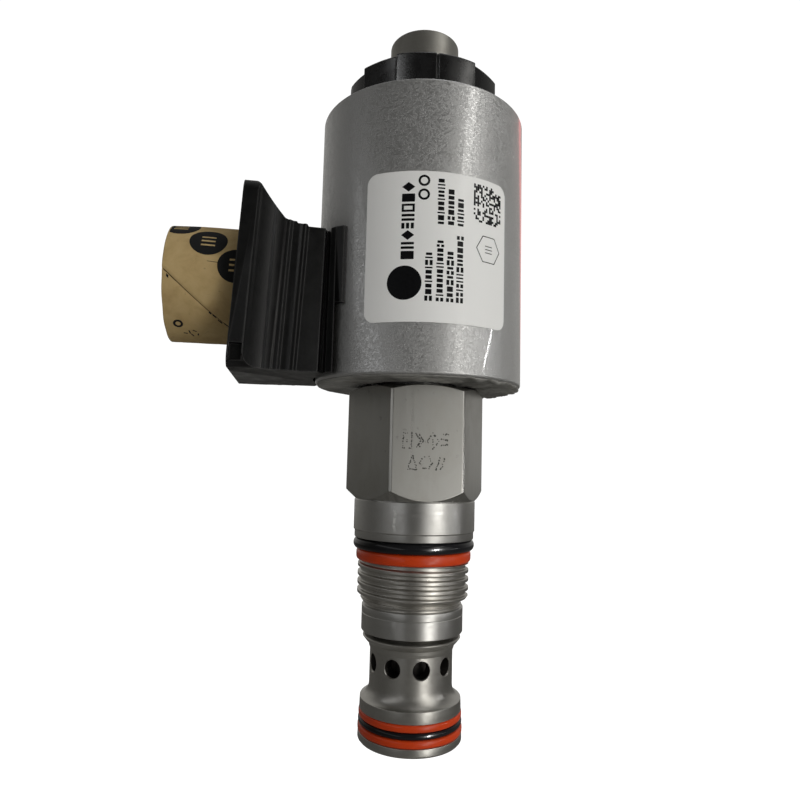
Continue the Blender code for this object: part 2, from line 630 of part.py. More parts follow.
def add_blade(name, y, z, upright):
    """A blade pointing along -X and its slot; upright blades have their width along Z."""
    length = BLADE_ROOT_X - BLADE_TIP_X
    half = BLADE_W / 2
    # (across the blade, out from its root)
    flat = [(-half, 0.0), (half, 0.0), (half, length - BLADE_TIP_CUT),
            (half - BLADE_TIP_CUT, length), (-half + BLADE_TIP_CUT, length),
            (-half, length - BLADE_TIP_CUT)]
    blade = prism(name, flat, -BLADE_T / 2, BLADE_T / 2, "tin_plate")
    place(blade, (BLADE_ROOT_X, y, z), (90, -90, 0) if upright else (0, 0, 90))
    slot_y, slot_z = BLADE_T / 2 + GAP, half + GAP
    if not upright:
        slot_y, slot_z = slot_z, slot_y
    boolean(terminal, block_tool(name + "_slot", (-45, y - slot_y, z - slot_z),
                                 (BLADE_ROOT_X + GAP, y + slot_y, z + slot_z)))
    return blade


blades = [
    add_blade("contact_blade_a", -BLADE_SPACING / 2, TERM_Z, upright=True),
    add_blade("contact_blade_b", BLADE_SPACING / 2, TERM_Z, upright=True),
    add_blade("earth_blade", 0.0, TERM_Z - BLADE_SPACING / 2, upright=False),
]

insert = turned("terminal_insert", [(2.0, 0.0), (2.2, -0.2), (2.2, -6.6), (1.3, -6.6), (1.3, 0.0)],
                20, "brass")
place(insert, (BOSS_END_X + 0.1, 0, TERM_Z), OUTWARD)

guard = flat_ring("terminal_guard", GUARD_R, GUARD_R - GUARD_WALL, 0.0, GUARD_LENGTH,
                  36, "kraft_paper", base=0.0)
place(guard, (FACE_X - GAP, 0, TERM_Z), OUTWARD)

# the blades, insert and guard turn with the coil
bpy.context.view_layer.update()
for child in (*blades, insert, guard):
    child.parent = coil_shell
    child.matrix_parent_inverse = coil_shell.matrix_world.inverted()
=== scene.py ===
"""A hydraulic cartridge valve with a solenoid coil.

The valve stands upright on the Z axis with its nose at z = 0 and its coil at the top. -Y is the
front, which carries the rating label. The terminal housing and its paper guard point to -X.
Meshes are described in millimetres. Materials, lights and the camera use metres.
"""
import math
import random

import bmesh
import bpy
import numpy as np
from mathutils import Matrix, Vector, noise


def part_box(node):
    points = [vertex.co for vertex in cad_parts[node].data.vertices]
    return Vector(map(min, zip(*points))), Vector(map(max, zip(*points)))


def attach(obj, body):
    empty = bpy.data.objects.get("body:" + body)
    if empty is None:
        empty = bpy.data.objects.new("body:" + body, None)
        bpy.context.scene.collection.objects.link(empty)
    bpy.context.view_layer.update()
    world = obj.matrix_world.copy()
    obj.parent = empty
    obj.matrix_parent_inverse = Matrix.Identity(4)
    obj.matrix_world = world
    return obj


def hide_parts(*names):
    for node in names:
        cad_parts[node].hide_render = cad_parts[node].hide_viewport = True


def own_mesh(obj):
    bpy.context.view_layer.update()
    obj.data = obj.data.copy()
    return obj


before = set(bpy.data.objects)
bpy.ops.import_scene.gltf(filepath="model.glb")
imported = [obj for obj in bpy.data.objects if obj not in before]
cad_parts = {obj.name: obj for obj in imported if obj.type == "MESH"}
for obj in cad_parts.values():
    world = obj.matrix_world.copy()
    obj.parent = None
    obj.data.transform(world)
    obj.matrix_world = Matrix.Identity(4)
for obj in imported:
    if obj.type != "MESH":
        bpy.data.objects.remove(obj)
MM = 0.001
VIEW_AZIMUTH = -10.3  # degrees round Z from the front to the camera
scene = bpy.context.scene

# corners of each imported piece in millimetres: ((x, y, z) low, (x, y, z) high)
BOXES = {node: [[v / MM for v in corner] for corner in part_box(node)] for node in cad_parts}


def low(node):
    return BOXES[node][0][2]


def top(node):
    return BOXES[node][1][2]


# ------------------------------------------------------------------ materials

class Nodes:
    """Adds nodes to a tree. A value given for an input may be a number or another socket."""

    def __init__(self, tree):
        self.tree = tree

    def put(self, socket, value):
        if isinstance(value, bpy.types.NodeSocket):
            self.tree.links.new(value, socket)
        elif isinstance(value, tuple) and len(value) == 3 and socket.type == "RGBA":
            socket.default_value = (*value, 1.0)
        else:
            socket.default_value = value

    def add(self, kind, inputs=None, **props):
        node = self.tree.nodes.new(kind)
        for key, value in props.items():
            setattr(node, key, value)
        for key, value in (inputs or {}).items():
            self.put(node.inputs[key], value)
        return node


class Finish(Nodes):
    """Short hand for building a material on object coordinates."""

    def __init__(self, name):
        self.material = bpy.data.materials.new(name)
        self.material.use_nodes = True
        super().__init__(self.material.node_tree)
        self.shader = self.tree.nodes["Principled BSDF"]
        self.coords = self.add("ShaderNodeTexCoord").outputs["Object"]

    def set(self, **inputs):
        """Sets inputs of the shader and returns the material."""
        for key, value in inputs.items():
            self.put(self.shader.inputs[key.replace("_", " ")], value)
        return self.material

    def split(self, vector):
        return tuple(self.add("ShaderNodeSeparateXYZ", {0: vector}).outputs)

    def join(self, x, y, z):
        return self.add("ShaderNodeCombineXYZ", {0: x, 1: y, 2: z}).outputs[0]

    def calc(self, operation, a, b=0.0, clamp=False):
        inputs = {0: a, 1: b, 2: 0.0}
        return self.add("ShaderNodeMath", inputs, operation=operation, use_clamp=clamp).outputs[0]

    def plus(self, a, b, clamp=False):
        return self.calc("ADD", a, b, clamp)

    def minus(self, a, b):
        return self.calc("SUBTRACT", a, b)

    def times(self, a, b):
        return self.calc("MULTIPLY", a, b)

    def sway(self, base, wave, amount, clamp=False):
        """The base value, moved up and down by a wave that is centred on 0.5."""
        return self.plus(base, self.times(self.minus(wave, 0.5), amount), clamp)

    def weigh(self, *waves):
        """Sum of (wave, weight) pairs."""
        total = self.times(*waves[0])
        for wave, weight in waves[1:]:
            total = self.plus(total, self.times(wave, weight))
        return total

    def noise(self, scale=1.0, detail=3.0, rough=0.55, distortion=0.0,
              stretch=None, vector=None, along=None):
        """Noise over the coordinates, over another vector, or in 1D along a value."""
        if along is not None:
            node = self.add("ShaderNodeTexNoise", {"W": along}, noise_dimensions="1D")
        else:
            vector = vector or self.coords
            if stretch:
                vector = self.add("ShaderNodeVectorMath", {0: vector, 1: stretch},
                                  operation="MULTIPLY").outputs[0]
            node = self.add("ShaderNodeTexNoise", {"Vector": vector}, noise_dimensions="3D")
        settings = {"Scale": scale, "Detail": detail, "Roughness": rough, "Distortion": distortion}
        for key, value in settings.items():
            self.put(node.inputs[key], value)
        return node.outputs[0]

    def ramp(self, factor, *stops):
        """A colour ramp through (position, colour or grey) stops."""
        node = self.add("ShaderNodeValToRGB", {0: factor})
        elements = node.color_ramp.elements
        while len(elements) < len(stops):
            elements.new(0.5)
        for element, (position, colour) in zip(elements, stops):
            element.position = position
            if not isinstance(colour, tuple):
                colour = (colour,) * 3
            element.color = (*colour, 1.0)
        return node.outputs[0]

    def step(self, factor, start, end):
        """A ramp from black at start to white at end."""
        return self.ramp(factor, (start, 0.0), (end, 1.0))

    def remap(self, value, start, end, to_start=0.0, to_end=1.0):
        inputs = {0: value, 1: start, 2: end, 3: to_start, 4: to_end}
        return self.add("ShaderNodeMapRange", inputs).outputs[0]

    def mix(self, factor, a, b):
        return self.add("ShaderNodeMix", {0: factor, 6: a, 7: b}, data_type="RGBA").outputs[2]

    def tint(self, base, mask, amount, colour):
        """The base colour, moved by this amount toward another where the mask is 1."""
        return self.mix(self.times(mask, amount), base, colour)

    def bump(self, height, strength, distance):
        inputs = {"Height": height, "Strength": strength, "Distance": distance}
        return self.add("ShaderNodeBump", inputs).outputs[0]

    def edge(self, radius):
        """1 on edges, 0 on flats, from the bevel normal."""
        bevel = self.add("ShaderNodeBevel", {"Radius": radius}, samples=4).outputs[0]
        normal = self.add("ShaderNodeNewGeometry").outputs["Normal"]
        facing = self.add("ShaderNodeVectorMath", {0: bevel, 1: normal}, operation="DOT_PRODUCT")
        return self.remap(facing.outputs["Value"], 0.995, 0.93)


def shade(colour, times=1.0, plus=0.0):
    """A colour scaled (by one factor or one per channel) and lifted, held at 1."""
    factors = times if isinstance(times, tuple) else (times,) * 3
    return tuple(min(1.0, c * factor + plus) for c, factor in zip(colour, factors))


def patch_mask(mat, angle, z_low, z_high, half, wobble, seed):
    """A small upright streak mask, used to paint a highlight: degrees from the front, heights in mm,
    half width in radians.
    """
    fade = 1.2
    x, y, z = mat.split(mat.coords)
    around = mat.calc("ARCTAN2", x, mat.times(y, -1.0))
    sideways = mat.noise(vector=mat.join(seed, 0.0, mat.times(z, 1000.0)), scale=0.55)
    off = mat.minus(mat.minus(around, math.radians(angle)),
                    mat.times(mat.minus(sideways, 0.5), wobble))
    across = mat.remap(mat.calc("ABSOLUTE", off), half * 0.45, half, 1.0, 0.0)
    upward = mat.times(mat.remap(z, z_low * MM, (z_low + fade) * MM),
                       mat.remap(z, (z_high - fade) * MM, z_high * MM, 1.0, 0.0))
    broken = mat.noise(vector=mat.join(seed + 7.0, 0.0, mat.times(z, 1000.0)), scale=1.3,
                       detail=2.0)
    gaps = mat.ramp(broken, (0.36, 0.15), (0.5, 1.0))
    return mat.times(mat.times(across, upward), gaps)


def turned_metal(name, colour, rough, grain=1.0, smudge=0.25, aniso=0.55, scuff_and_painted_highlight=None):
    """Lathe-turned metal: fine rings round the axis, oily smudges, brighter worn edges, and an
    optional painted highlight streak.
    """
    mat = Finish(name)
    x, y, z = mat.split(mat.coords)
    radius = mat.calc("SQRT", mat.plus(mat.times(x, x), mat.times(y, y)))
    along = mat.plus(z, radius)
    fine = mat.noise(along=along, scale=9000.0, detail=2.0, rough=0.6)
    coarse = mat.noise(along=along, scale=1800.0, rough=0.6)
    broken = mat.noise(stretch=(260.0, 260.0, 5200.0))
    blots = mat.noise(scale=190.0, detail=5.0, rough=0.62, distortion=0.6)
    small_blots = mat.noise(scale=620.0, detail=4.0, rough=0.6)
    stain = mat.step(blots, 0.42, 0.68)
    col = mat.tint(colour, stain, smudge, shade(colour, (0.5, 0.47, 0.42)))
    col = mat.tint(col, mat.edge(0.00018), 0.35, shade(colour, 1.35))
    gloss = mat.sway(rough, coarse, amount=0.16)
    gloss = mat.sway(gloss, small_blots, amount=0.14 * smudge / 0.25)
    gloss = mat.plus(gloss, mat.times(stain, 0.12 * smudge / 0.25), clamp=True)
    if scuff_and_painted_highlight:
        # painted highlight: the mask lays a near-white upright streak into the colour
        mask = patch_mask(mat, **scuff_and_painted_highlight)
        col = mat.mix(mask, col, (0.95, 0.95, 0.93))
        gloss = mat.plus(gloss, mat.times(mask, 0.3), clamp=True)
    height = mat.weigh((fine, 0.5), (coarse, 0.9), (broken, 0.35))
    tangent = mat.add("ShaderNodeTangent", direction_type="RADIAL", axis="Z").outputs[0]
    return mat.set(Base_Color=col, Metallic=1.0, Roughness=gloss, Anisotropic=aniso,
                   Normal=mat.bump(height, strength=0.28 * grain, distance=0.00001),
                   Anisotropic_Rotation=0.25, Tangent=tangent)


def bar_metal(name, colour, rough):
    """Drawn hexagon bar: smooth dull faces with lengthwise drawing marks, specks and stains."""
    mat = Finish(name)
    lines = mat.noise(stretch=(1500.0, 1500.0, 28.0), detail=4.0, rough=0.6)
    cloud = mat.noise(stretch=(150.0, 150.0, 90.0), detail=5.0, rough=0.6, distortion=0.8)
    grit = mat.noise(scale=3800.0, detail=2.0, rough=0.6)
    speck = mat.step(mat.noise(scale=900.0, detail=2.0, rough=0.5), 0.69, 0.76)
    stain = mat.step(cloud, 0.45, 0.75)
    col = mat.tint(colour, stain, 0.35, shade(colour, (0.72, 0.68, 0.6)))
    col = mat.tint(col, speck, 0.35, shade(colour, 0.5))
    col = mat.tint(col, mat.edge(0.00022), 0.5, shade(colour, 1.5))
    gloss = mat.plus(mat.sway(rough, lines, amount=0.2), mat.times(stain, 0.1), clamp=True)
    height = mat.weigh((lines, 0.8), (grit, 0.35))
    return mat.set(Base_Color=col, Metallic=1.0, Roughness=gloss,
                   Normal=mat.bump(height, strength=0.3, distance=0.000012))


def blasted_metal(name):
    """Coil can: fine bead-blasted silver finish that sparkles in the light."""
    mat = Finish(name)
    flake = mat.add("ShaderNodeTexVoronoi", {"Vector": mat.coords, "Scale": 4000.0}, feature="F1")
    flake_colour = mat.add("ShaderNodeVectorMath", {0: flake.outputs["Color"]}, operation="ADD")
    fleck = mat.split(flake_colour.outputs[0])[0]
    grain = mat.noise(scale=4200.0, detail=2.0, rough=0.65)
    fine = mat.noise(scale=9000.0, detail=1.0, rough=0.5)
    cloud = mat.noise(stretch=(60.0, 60.0, 30.0), detail=4.0, rough=0.6)
    streak = mat.noise(stretch=(420.0, 420.0, 14.0), rough=0.6)
    scuff_and_painted_highlight = mat.step(mat.noise(stretch=(55.0, 55.0, 700.0), rough=0.5), 0.73, 0.8)
    col = mat.mix(mat.remap(cloud, 0.35, 0.65), (0.43, 0.43, 0.425), (0.50, 0.50, 0.50))
    col = mat.tint(col, mat.remap(fleck, 0.0, 1.0), 0.28, (0.66, 0.66, 0.66))
    col = mat.tint(col, streak, 0.16, (0.36, 0.36, 0.355))
    col = mat.tint(col, scuff_and_painted_highlight, 0.35, (0.22, 0.22, 0.22))
    gloss = mat.remap(fleck, 0.0, 1.0, to_start=0.30, to_end=0.66)
    height = mat.weigh((grain, 0.7), (fleck, 0.8), (fine, 0.3))
    peel = mat.noise(stretch=(700.0, 700.0, 420.0), detail=2.0, rough=0.5)
    return mat.set(Base_Color=col, Metallic=0.82, Roughness=gloss,
                   Normal=mat.bump(height, strength=0.75, distance=0.00003),
                   Coat_Normal=mat.bump(peel, strength=0.06, distance=0.00003),
                   Coat_Weight=0.5, Coat_Roughness=0.055)


def black_plastic(name, colour, rough, dust, grain, specular):
    """Moulded plastic with a fine grain, dust and lighter rubbed edges."""
    mat = Finish(name)
    fine = mat.noise(scale=2600.0, rough=0.6)
    cloud = mat.noise(scale=420.0, detail=5.0, rough=0.65, distortion=0.4)
    dots = mat.step(mat.noise(scale=1500.0, detail=2.0, rough=0.6), 0.62, 0.72)
    flow = mat.noise(stretch=(300.0, 300.0, 40.0), detail=4.0)
    col = mat.tint(colour, mat.remap(cloud, 0.35, 0.7), dust, shade(colour, plus=0.06))
    col = mat.tint(col, dots, dust * 0.8, shade(colour, plus=0.12))
    col = mat.tint(col, mat.edge(0.0003), 0.45, shade(colour, plus=0.10))
    gloss = mat.sway(mat.sway(rough, cloud, amount=0.3), flow, amount=0.25, clamp=True)
    height = mat.weigh((fine, 0.6), (cloud, 0.7))
    return mat.set(Base_Color=col, Roughness=gloss, Specular_IOR_Level=specular,
                   Normal=mat.bump(height, strength=0.35 * grain, distance=0.00003))


def seal_rubber(name, colour, rough, coat, speckle, specular):
    """Rubber under a cloudy film, with a clear coat."""
    mat = Finish(name)
    grain = mat.noise(scale=900.0, detail=4.0, rough=0.6)
    film = mat.noise(scale=230.0, detail=4.0, rough=0.6, distortion=0.7)
    col = mat.tint(colour, mat.remap(film, 0.35, 0.7), speckle, shade(colour, 1.5, plus=0.01))
    return mat.set(Base_Color=col, Roughness=mat.sway(rough, film, amount=0.3, clamp=True),
                   Normal=mat.bump(grain, strength=0.25, distance=0.00002),
                   Specular_IOR_Level=specular, Coat_Weight=coat, Coat_Roughness=0.07)


def plain_detail(name, colour, rough, metallic, scale=900.0):
    """A plain finish: a little cloud in colour and gloss and a fine grain."""
    mat = Finish(name)
    fine = mat.noise(scale=scale, detail=4.0, rough=0.6)
    cloud = mat.noise(scale=scale / 6.0, detail=4.0, rough=0.6)
    col = mat.tint(colour, mat.remap(cloud, 0.35, 0.7), 0.5, shade(colour, 0.7))
    return mat.set(Base_Color=col, Metallic=metallic,
                   Roughness=mat.sway(rough, fine, amount=0.2, clamp=True),
                   Normal=mat.bump(fine, strength=0.3, distance=0.00001))


def resin(name, colour):
    """Cast resin, blotchy and rough."""
    mat = Finish(name)
    fine = mat.noise(scale=700.0, detail=5.0, rough=0.65)
    cloud = mat.noise(scale=190.0, detail=4.0, rough=0.6)
    return mat.set(Base_Color=mat.mix(mat.remap(cloud, 0.35, 0.7), colour, shade(colour, 0.45)),
                   Metallic=0.45, Roughness=mat.remap(fine, 0.3, 0.7, to_start=0.3, to_end=0.62),
                   Normal=mat.bump(mat.plus(fine, cloud), strength=0.7, distance=0.0001))


def kraft(name):
    """Spiral-wound kraft paper: fibres, mottling, a scuffed surface."""
    mat = Finish(name)
    fibre = mat.noise(stretch=(900.0, 2600.0, 1500.0), detail=4.0, rough=0.65, distortion=1.2)
    mottle = mat.noise(scale=330.0, detail=5.0, rough=0.6, distortion=0.5)
    cloud = mat.noise(scale=95.0, rough=0.5)
    specks = mat.step(mat.noise(scale=1300.0, rough=0.6), 0.66, 0.74)
    col = mat.ramp(mottle, (0.25, (0.50, 0.345, 0.158)), (0.5, (0.63, 0.460, 0.218)),
                   (0.8, (0.72, 0.55, 0.28)))
    col = mat.tint(col, mat.remap(cloud, 0.35, 0.65), 0.3, (0.47, 0.33, 0.15))
    col = mat.tint(col, specks, 0.4, (0.26, 0.17, 0.085))
    col = mat.tint(col, mat.step(fibre, 0.6, 0.75), 0.25, (0.62, 0.49, 0.28))
    height = mat.weigh((fibre, 0.6), (mottle, 0.6))
    return mat.set(Base_Color=col, Roughness=0.82, Specular_IOR_Level=0.25,
                   Normal=mat.bump(height, strength=0.5, distance=0.00004))


def label_film(name, colour):
    """Printed film, slightly wavy under a thin coat."""
    mat = Finish(name)
    wave = mat.noise(scale=90.0, rough=0.5)
    fine = mat.noise(scale=1500.0, detail=2.0, rough=0.5)
    col = mat.tint(colour, mat.edge(0.0003), 0.3, shade(colour, 0.8))
    col = mat.tint(col, mat.remap(wave, 0.35, 0.65), 0.06, (0.7, 0.72, 0.76))
    return mat.set(Base_Color=col, Roughness=mat.remap(fine, 0.3, 0.7, to_start=0.34, to_end=0.46),
                   Normal=mat.bump(wave, strength=0.12, distance=0.0002),
                   Specular_IOR_Level=0.3, Coat_Weight=0.12, Coat_Roughness=0.08)


def ink(name, colour, rough=0.35):
    """Flat dark colour with a faint mottle: print on the label and paper, painted shade on the
    punched marks.
    """
    mat = Finish(name)
    fine = mat.noise(scale=2600.0, rough=0.6)
    mottle = mat.remap(fine, 0.35, 0.7, to_end=0.6)
    gloss = mat.remap(fine, 0.3, 0.7, to_start=rough - 0.06, to_end=rough + 0.1)
    return mat.set(Base_Color=mat.mix(mottle, colour, shade(colour, 1.6, plus=0.002)),
                   Roughness=gloss, Specular_IOR_Level=0.16)


def winding_copper(name):
    """Copper with one ridge for each turn of wire, and painted shade in the grooves between turns.
    """
    wire_pitch = 0.00045
    mat = Finish(name)
    z = mat.split(mat.coords)[2]
    ridge = mat.calc("ABSOLUTE", mat.calc("SINE", mat.times(z, math.pi / wire_pitch)))
    cloud = mat.noise(scale=500.0, rough=0.6)
    # painted shade: dark in the grooves between turns, bright on the crowns
    col = mat.mix(mat.remap(ridge, 0.0, 1.0), (0.16, 0.05, 0.02), (0.60, 0.25, 0.10))
    return mat.set(Base_Color=col, Metallic=0.9,
                   Roughness=mat.remap(cloud, 0.3, 0.7, to_start=0.25, to_end=0.45),
                   Normal=mat.bump(ridge, strength=0.8, distance=0.0002))


# a painted highlight streak on the round land below the hexagon
BODY_PAINTED_HIGHLIGHT = dict(angle=-27.2, z_low=35.9, z_high=40.6, half=0.030, wobble=0.09, seed=3.0)
MATS = {
    "body_turned": turned_metal("body_turned", (0.52, 0.515, 0.50), rough=0.34, grain=0.45,
                                smudge=0.18, aniso=0.35, scuff_and_painted_highlight=BODY_PAINTED_HIGHLIGHT),
    "thread_turned": turned_metal("thread_turned", (0.52, 0.505, 0.475), rough=0.30, grain=0.6,
                                  smudge=0.3, aniso=0.2),
    "hex_bar": bar_metal("hex_bar", (0.38, 0.375, 0.356), rough=0.31),
    "nose_turned": turned_metal("nose_turned", (0.48, 0.47, 0.445), rough=0.34, grain=0.4,
                                smudge=0.22, aniso=0.3),
    "tube_turned": turned_metal("tube_turned", (0.34, 0.33, 0.305), rough=0.48, grain=0.5,
                                smudge=0.2, aniso=0.2),
    "coil_blasted": blasted_metal("coil_blasted"),
    "nut_black": black_plastic("nut_black", (0.0030, 0.0030, 0.0034), rough=0.27, dust=0.045,
                               grain=0.6, specular=0.42),
    "terminal_black": black_plastic("terminal_black", (0.0018, 0.0019, 0.0021), rough=0.40,
                                    dust=0.04, grain=1.4, specular=0.30),
    "orange": seal_rubber("seal_orange_satin", (0.72, 0.060, 0.007), rough=0.34, coat=0.2,
                          speckle=0.10, specular=0.3),
    "black": seal_rubber("seal_black_oiled", (0.0022, 0.0022, 0.0026), rough=0.2, coat=0.16,
                         speckle=0.08, specular=0.22),
    "kraft": kraft("kraft_paper_wound"),
    "film": label_film("label_film", (0.90, 0.90, 0.885)),
    "ink": ink("label_ink", (0.004, 0.004, 0.005)),
    "ink_kraft": ink("kraft_ink", (0.012, 0.012, 0.0125), rough=0.7),
    "resin": resin("cast_resin", (0.40, 0.395, 0.375)),
    # painted shadow: the dark brown of the strip in the dip along the wound seam
    "seam_shadow_brown": plain_detail("kraft_painted_seam_shadow", (0.10, 0.066, 0.03), rough=0.85, metallic=0.0,
                               scale=1500.0),
    "spool": turned_metal("spool_ground", (0.55, 0.55, 0.54), rough=0.22, smudge=0.1),
    # painted shade: a dark copy of turned metal for the faces seen through the cage holes
    "bore": turned_metal("bore_shadowed", (0.085, 0.08, 0.075), rough=0.45, grain=0.6,
                         smudge=0.3, aniso=0.1),
    "spring": plain_detail("spring_wire", (0.35, 0.35, 0.36), rough=0.3, metallic=1.0),
    "iron": turned_metal("soft_iron_turned", (0.42, 0.41, 0.40), rough=0.4, smudge=0.3,
                         aniso=0.2),
    "bronze": turned_metal("bronze_turned", (0.52, 0.34, 0.17), rough=0.35, smudge=0.2,
                           aniso=0.3),
    "bobbin": plain_detail("bobbin_nylon", (0.62, 0.60, 0.52), rough=0.5, metallic=0.0),
    "copper": winding_copper("copper_winding"),
    "tin": plain_detail("tinned_contact", (0.60, 0.60, 0.58), rough=0.3, metallic=1.0,
                        scale=1500.0),
    "brass": turned_metal("brass_turned", (0.62, 0.44, 0.17), rough=0.3, smudge=0.2, aniso=0.3),
    # painted shade: the dark colour of the punched dents
    "stamp": ink("punched_dent_shade", (0.07, 0.068, 0.064), rough=0.5),
    "dark": ink("deep_recess", (0.004, 0.004, 0.004), rough=0.7),
}

# --------------------------------------------------------------- mesh helpers


def add_object(name, data):
    obj = bpy.data.objects.new(name, data)
    scene.collection.objects.link(obj)
    return obj


def smooth_all(obj):
    obj.data.polygons.foreach_set("use_smooth", [True] * len(obj.data.polygons))


def even_normals(obj):
    modifier = obj.modifiers.new("even_normals", "WEIGHTED_NORMAL")
    modifier.mode = "FACE_AREA"
    modifier.keep_sharp = True


def bevel_edges(obj, width, segments, angle):
    """Rounds the edges sharper than this angle in degrees."""
    bevel = obj.modifiers.new("edges", "BEVEL")
    bevel.width = width * MM
    bevel.segments = segments
    bevel.limit_method = "ANGLE"
    bevel.angle_limit = math.radians(angle)
    return bevel


def new_object(name, verts, faces, mat, smooth=True, weighted=True):
    """A mesh piece from points in millimetres, with its normals facing out."""
    mesh = bpy.data.meshes.new(name)
    mesh.from_pydata([tuple(v) for v in (np.asarray(verts, float) * MM)], [], faces)
    mesh.validate()
    obj = add_object(name, mesh)
    mesh.materials.append(MATS[mat])
    if smooth:
        smooth_all(obj)
    if weighted:
        even_normals(obj)
    bm = bmesh.new()
    bm.from_mesh(mesh)
    bmesh.ops.recalc_face_normals(bm, faces=bm.faces)
    bm.to_mesh(mesh)
    bm.free()
    mesh.update()
    return obj


def object_from_bmesh(name, bm, mat):
    mesh = bpy.data.meshes.new(name)
    bm.to_mesh(mesh)
    bm.free()
    mesh.materials.append(MATS[mat])
    return add_object(name, mesh)


def join_meshes(name, parts, mat):
    bm = bmesh.new()
    for part in parts:
        bm.from_mesh(part.data)
    obj = object_from_bmesh(name, bm, mat)
    for part in parts:
        bpy.data.objects.remove(part, do_unlink=True)
    return obj


def rounded(profile, steps=4, closed=True):
    """Turns the corners of (a, b) or (a, b, corner radius) points into small arcs."""
    out = []
    count = len(profile)
    for i, point in enumerate(profile):
        wanted = point[2] if len(point) > 2 else 0.0
        if wanted <= 0 or (not closed and i in (0, count - 1)):
            out.append((point[0], point[1]))
            continue
        before, corner, after = (np.array(profile[k % count][:2], float)
                                 for k in (i - 1, i, i + 1))
        back, ahead = before - corner, after - corner
        back_length, ahead_length = np.linalg.norm(back), np.linalg.norm(ahead)
        back, ahead = back / back_length, ahead / ahead_length
        angle = math.acos(max(-1.0, min(1.0, float(back @ ahead))))
        if angle > math.pi - 0.03:
            out.append((point[0], point[1]))
            continue
        # the arc uses just under half of each side
        reach = min(wanted / math.tan(angle / 2), back_length * 0.48, ahead_length * 0.48)
        radius = reach * math.tan(angle / 2)
        middle = back + ahead
        centre = corner + middle / np.linalg.norm(middle) * (radius / math.sin(angle / 2))
        start, end = corner + back * reach - centre, corner + ahead * reach - centre
        first = math.atan2(start[1], start[0])
        sweep = (math.atan2(end[1], end[0]) - first + math.pi) % (2 * math.pi) - math.pi
        for k in range(steps + 1):
            t = first + sweep * k / steps
            out.append((centre[0] + radius * math.cos(t), centre[1] + radius * math.sin(t)))
    return out


def rect(x0, x1, y0, y1, corner=0.0, steps=3):
    return rounded([(x0, y0, corner), (x1, y0, corner), (x1, y1, corner), (x0, y1, corner)], steps)


def circle(cx, cy, radius, count):
    angles = [math.radians(360 / count * k) for k in range(count)]
    return [(cx + radius * math.cos(a), cy + radius * math.sin(a)) for a in angles]


def ring_quads(cx, cy, inner, outer, count):
    """A flat ring as a list of four-sided outlines."""
    quads = []
    for k in range(count):
        a0, a1 = 2 * math.pi * k / count, 2 * math.pi * (k + 1) / count
        quads.append([(cx + r * math.cos(a), cy + r * math.sin(a))
                      for r, a in ((outer, a0), (outer, a1), (inner, a1), (inner, a0))])
    return quads


def grid_faces(rows, cols, capped=False):
    """Faces of a tube of rows. It closes on itself, or is capped at both ends."""
    faces = []
    for i in range(rows - 1 if capped else rows):
        a, b = i * cols, ((i + 1) % rows) * cols
        for j in range(cols):
            k = (j + 1) % cols
            faces.append((a + j, b + j, b + k, a + k))
    if capped:
        faces.append(tuple(range(cols)))
        faces.append(tuple(reversed(range((rows - 1) * cols, rows * cols))))
    return faces


def shaped_lathe(name, degrees, rows, mat, capped=False, smooth=True):
    """A lathe on given columns. Each row is (radius, z), as numbers or one value per column."""
    angles = np.radians(degrees)
    verts = []
    for r, z in rows:
        z = np.broadcast_to(np.asarray(z, float), angles.shape)
        verts.append(np.stack([r * np.sin(angles), -r * np.cos(angles), z], 1))
    faces = grid_faces(len(rows), len(angles), capped)
    return new_object(name, np.concatenate(verts), faces, mat, smooth)


def lathe(name, profile, mat, segs=160, capped=False, smooth=True):
    """Turns a profile of (radius, z) about Z."""
    return shaped_lathe(name, np.arange(segs) * 360.0 / segs, profile, mat, capped, smooth)


def prism_faces(count, first=0):
    faces = [tuple(reversed(range(first, first + count))),
             tuple(range(first + count, first + 2 * count))]
    for i in range(first, first + count):
        after = first + (i - first + 1) % count
        faces.append((i, after, count + after, count + i))
    return faces


def prism(outline, z0, z1, name="tool", mat="dark"):
    """An outline in XY pulled along Z, closed."""
    verts = [(x, y, z) for z in (z0, z1) for x, y in outline]
    return new_object(name, verts, prism_faces(len(outline)), mat, smooth=False, weighted=False)


def turn(degrees, axis):
    return Matrix.Rotation(math.radians(degrees), 4, axis)


def move(x, y, z):
    return Matrix.Translation((x * MM, y * MM, z * MM))


def transform(obj, matrix):
    obj.data.transform(matrix)
    obj.data.update()


def drill(profile, segs, matrix=None):
    """A solid turned cutting tool, set in place by the matrix."""
    tool = lathe("tool", profile, "dark", segs, capped=True, smooth=False)
    if matrix:
        transform(tool, matrix)
    return tool


def cut(obj, tool, operation="DIFFERENCE"):
    """Applies a Boolean, keeps the result as the piece's mesh, drops the tool."""
    boolean = obj.modifiers.new("cut", "BOOLEAN")
    boolean.operation = operation
    boolean.solver = "EXACT"
    boolean.object = tool
    others = [m for m in obj.modifiers if m.type == "WEIGHTED_NORMAL"]
    for modifier in others:
        modifier.show_viewport = False
    bpy.context.view_layer.update()
    evaluated = obj.evaluated_get(bpy.context.evaluated_depsgraph_get())
    mesh = bpy.data.meshes.new_from_object(evaluated)
    obj.modifiers.remove(boolean)
    materials = list(obj.data.materials)
    obj.data = mesh
    mesh.materials.clear()
    for material in materials:
        mesh.materials.append(material)
    for modifier in others:
        modifier.show_viewport = True
    bpy.data.objects.remove(tool, do_unlink=True)


def paint_shade_inside(obj, z_low, z_high, r_low, r_high=math.inf):
    """Paints shade on the faces between these heights and radii by giving them the dark shadowed
    copy of turned metal.
    """
    obj.data.materials.append(MATS["bore"])
    for face in obj.data.polygons:
        centre = face.center / MM
        if z_low < centre.z < z_high and r_low < math.hypot(centre.x, centre.y) < r_high:
            face.material_index = 1


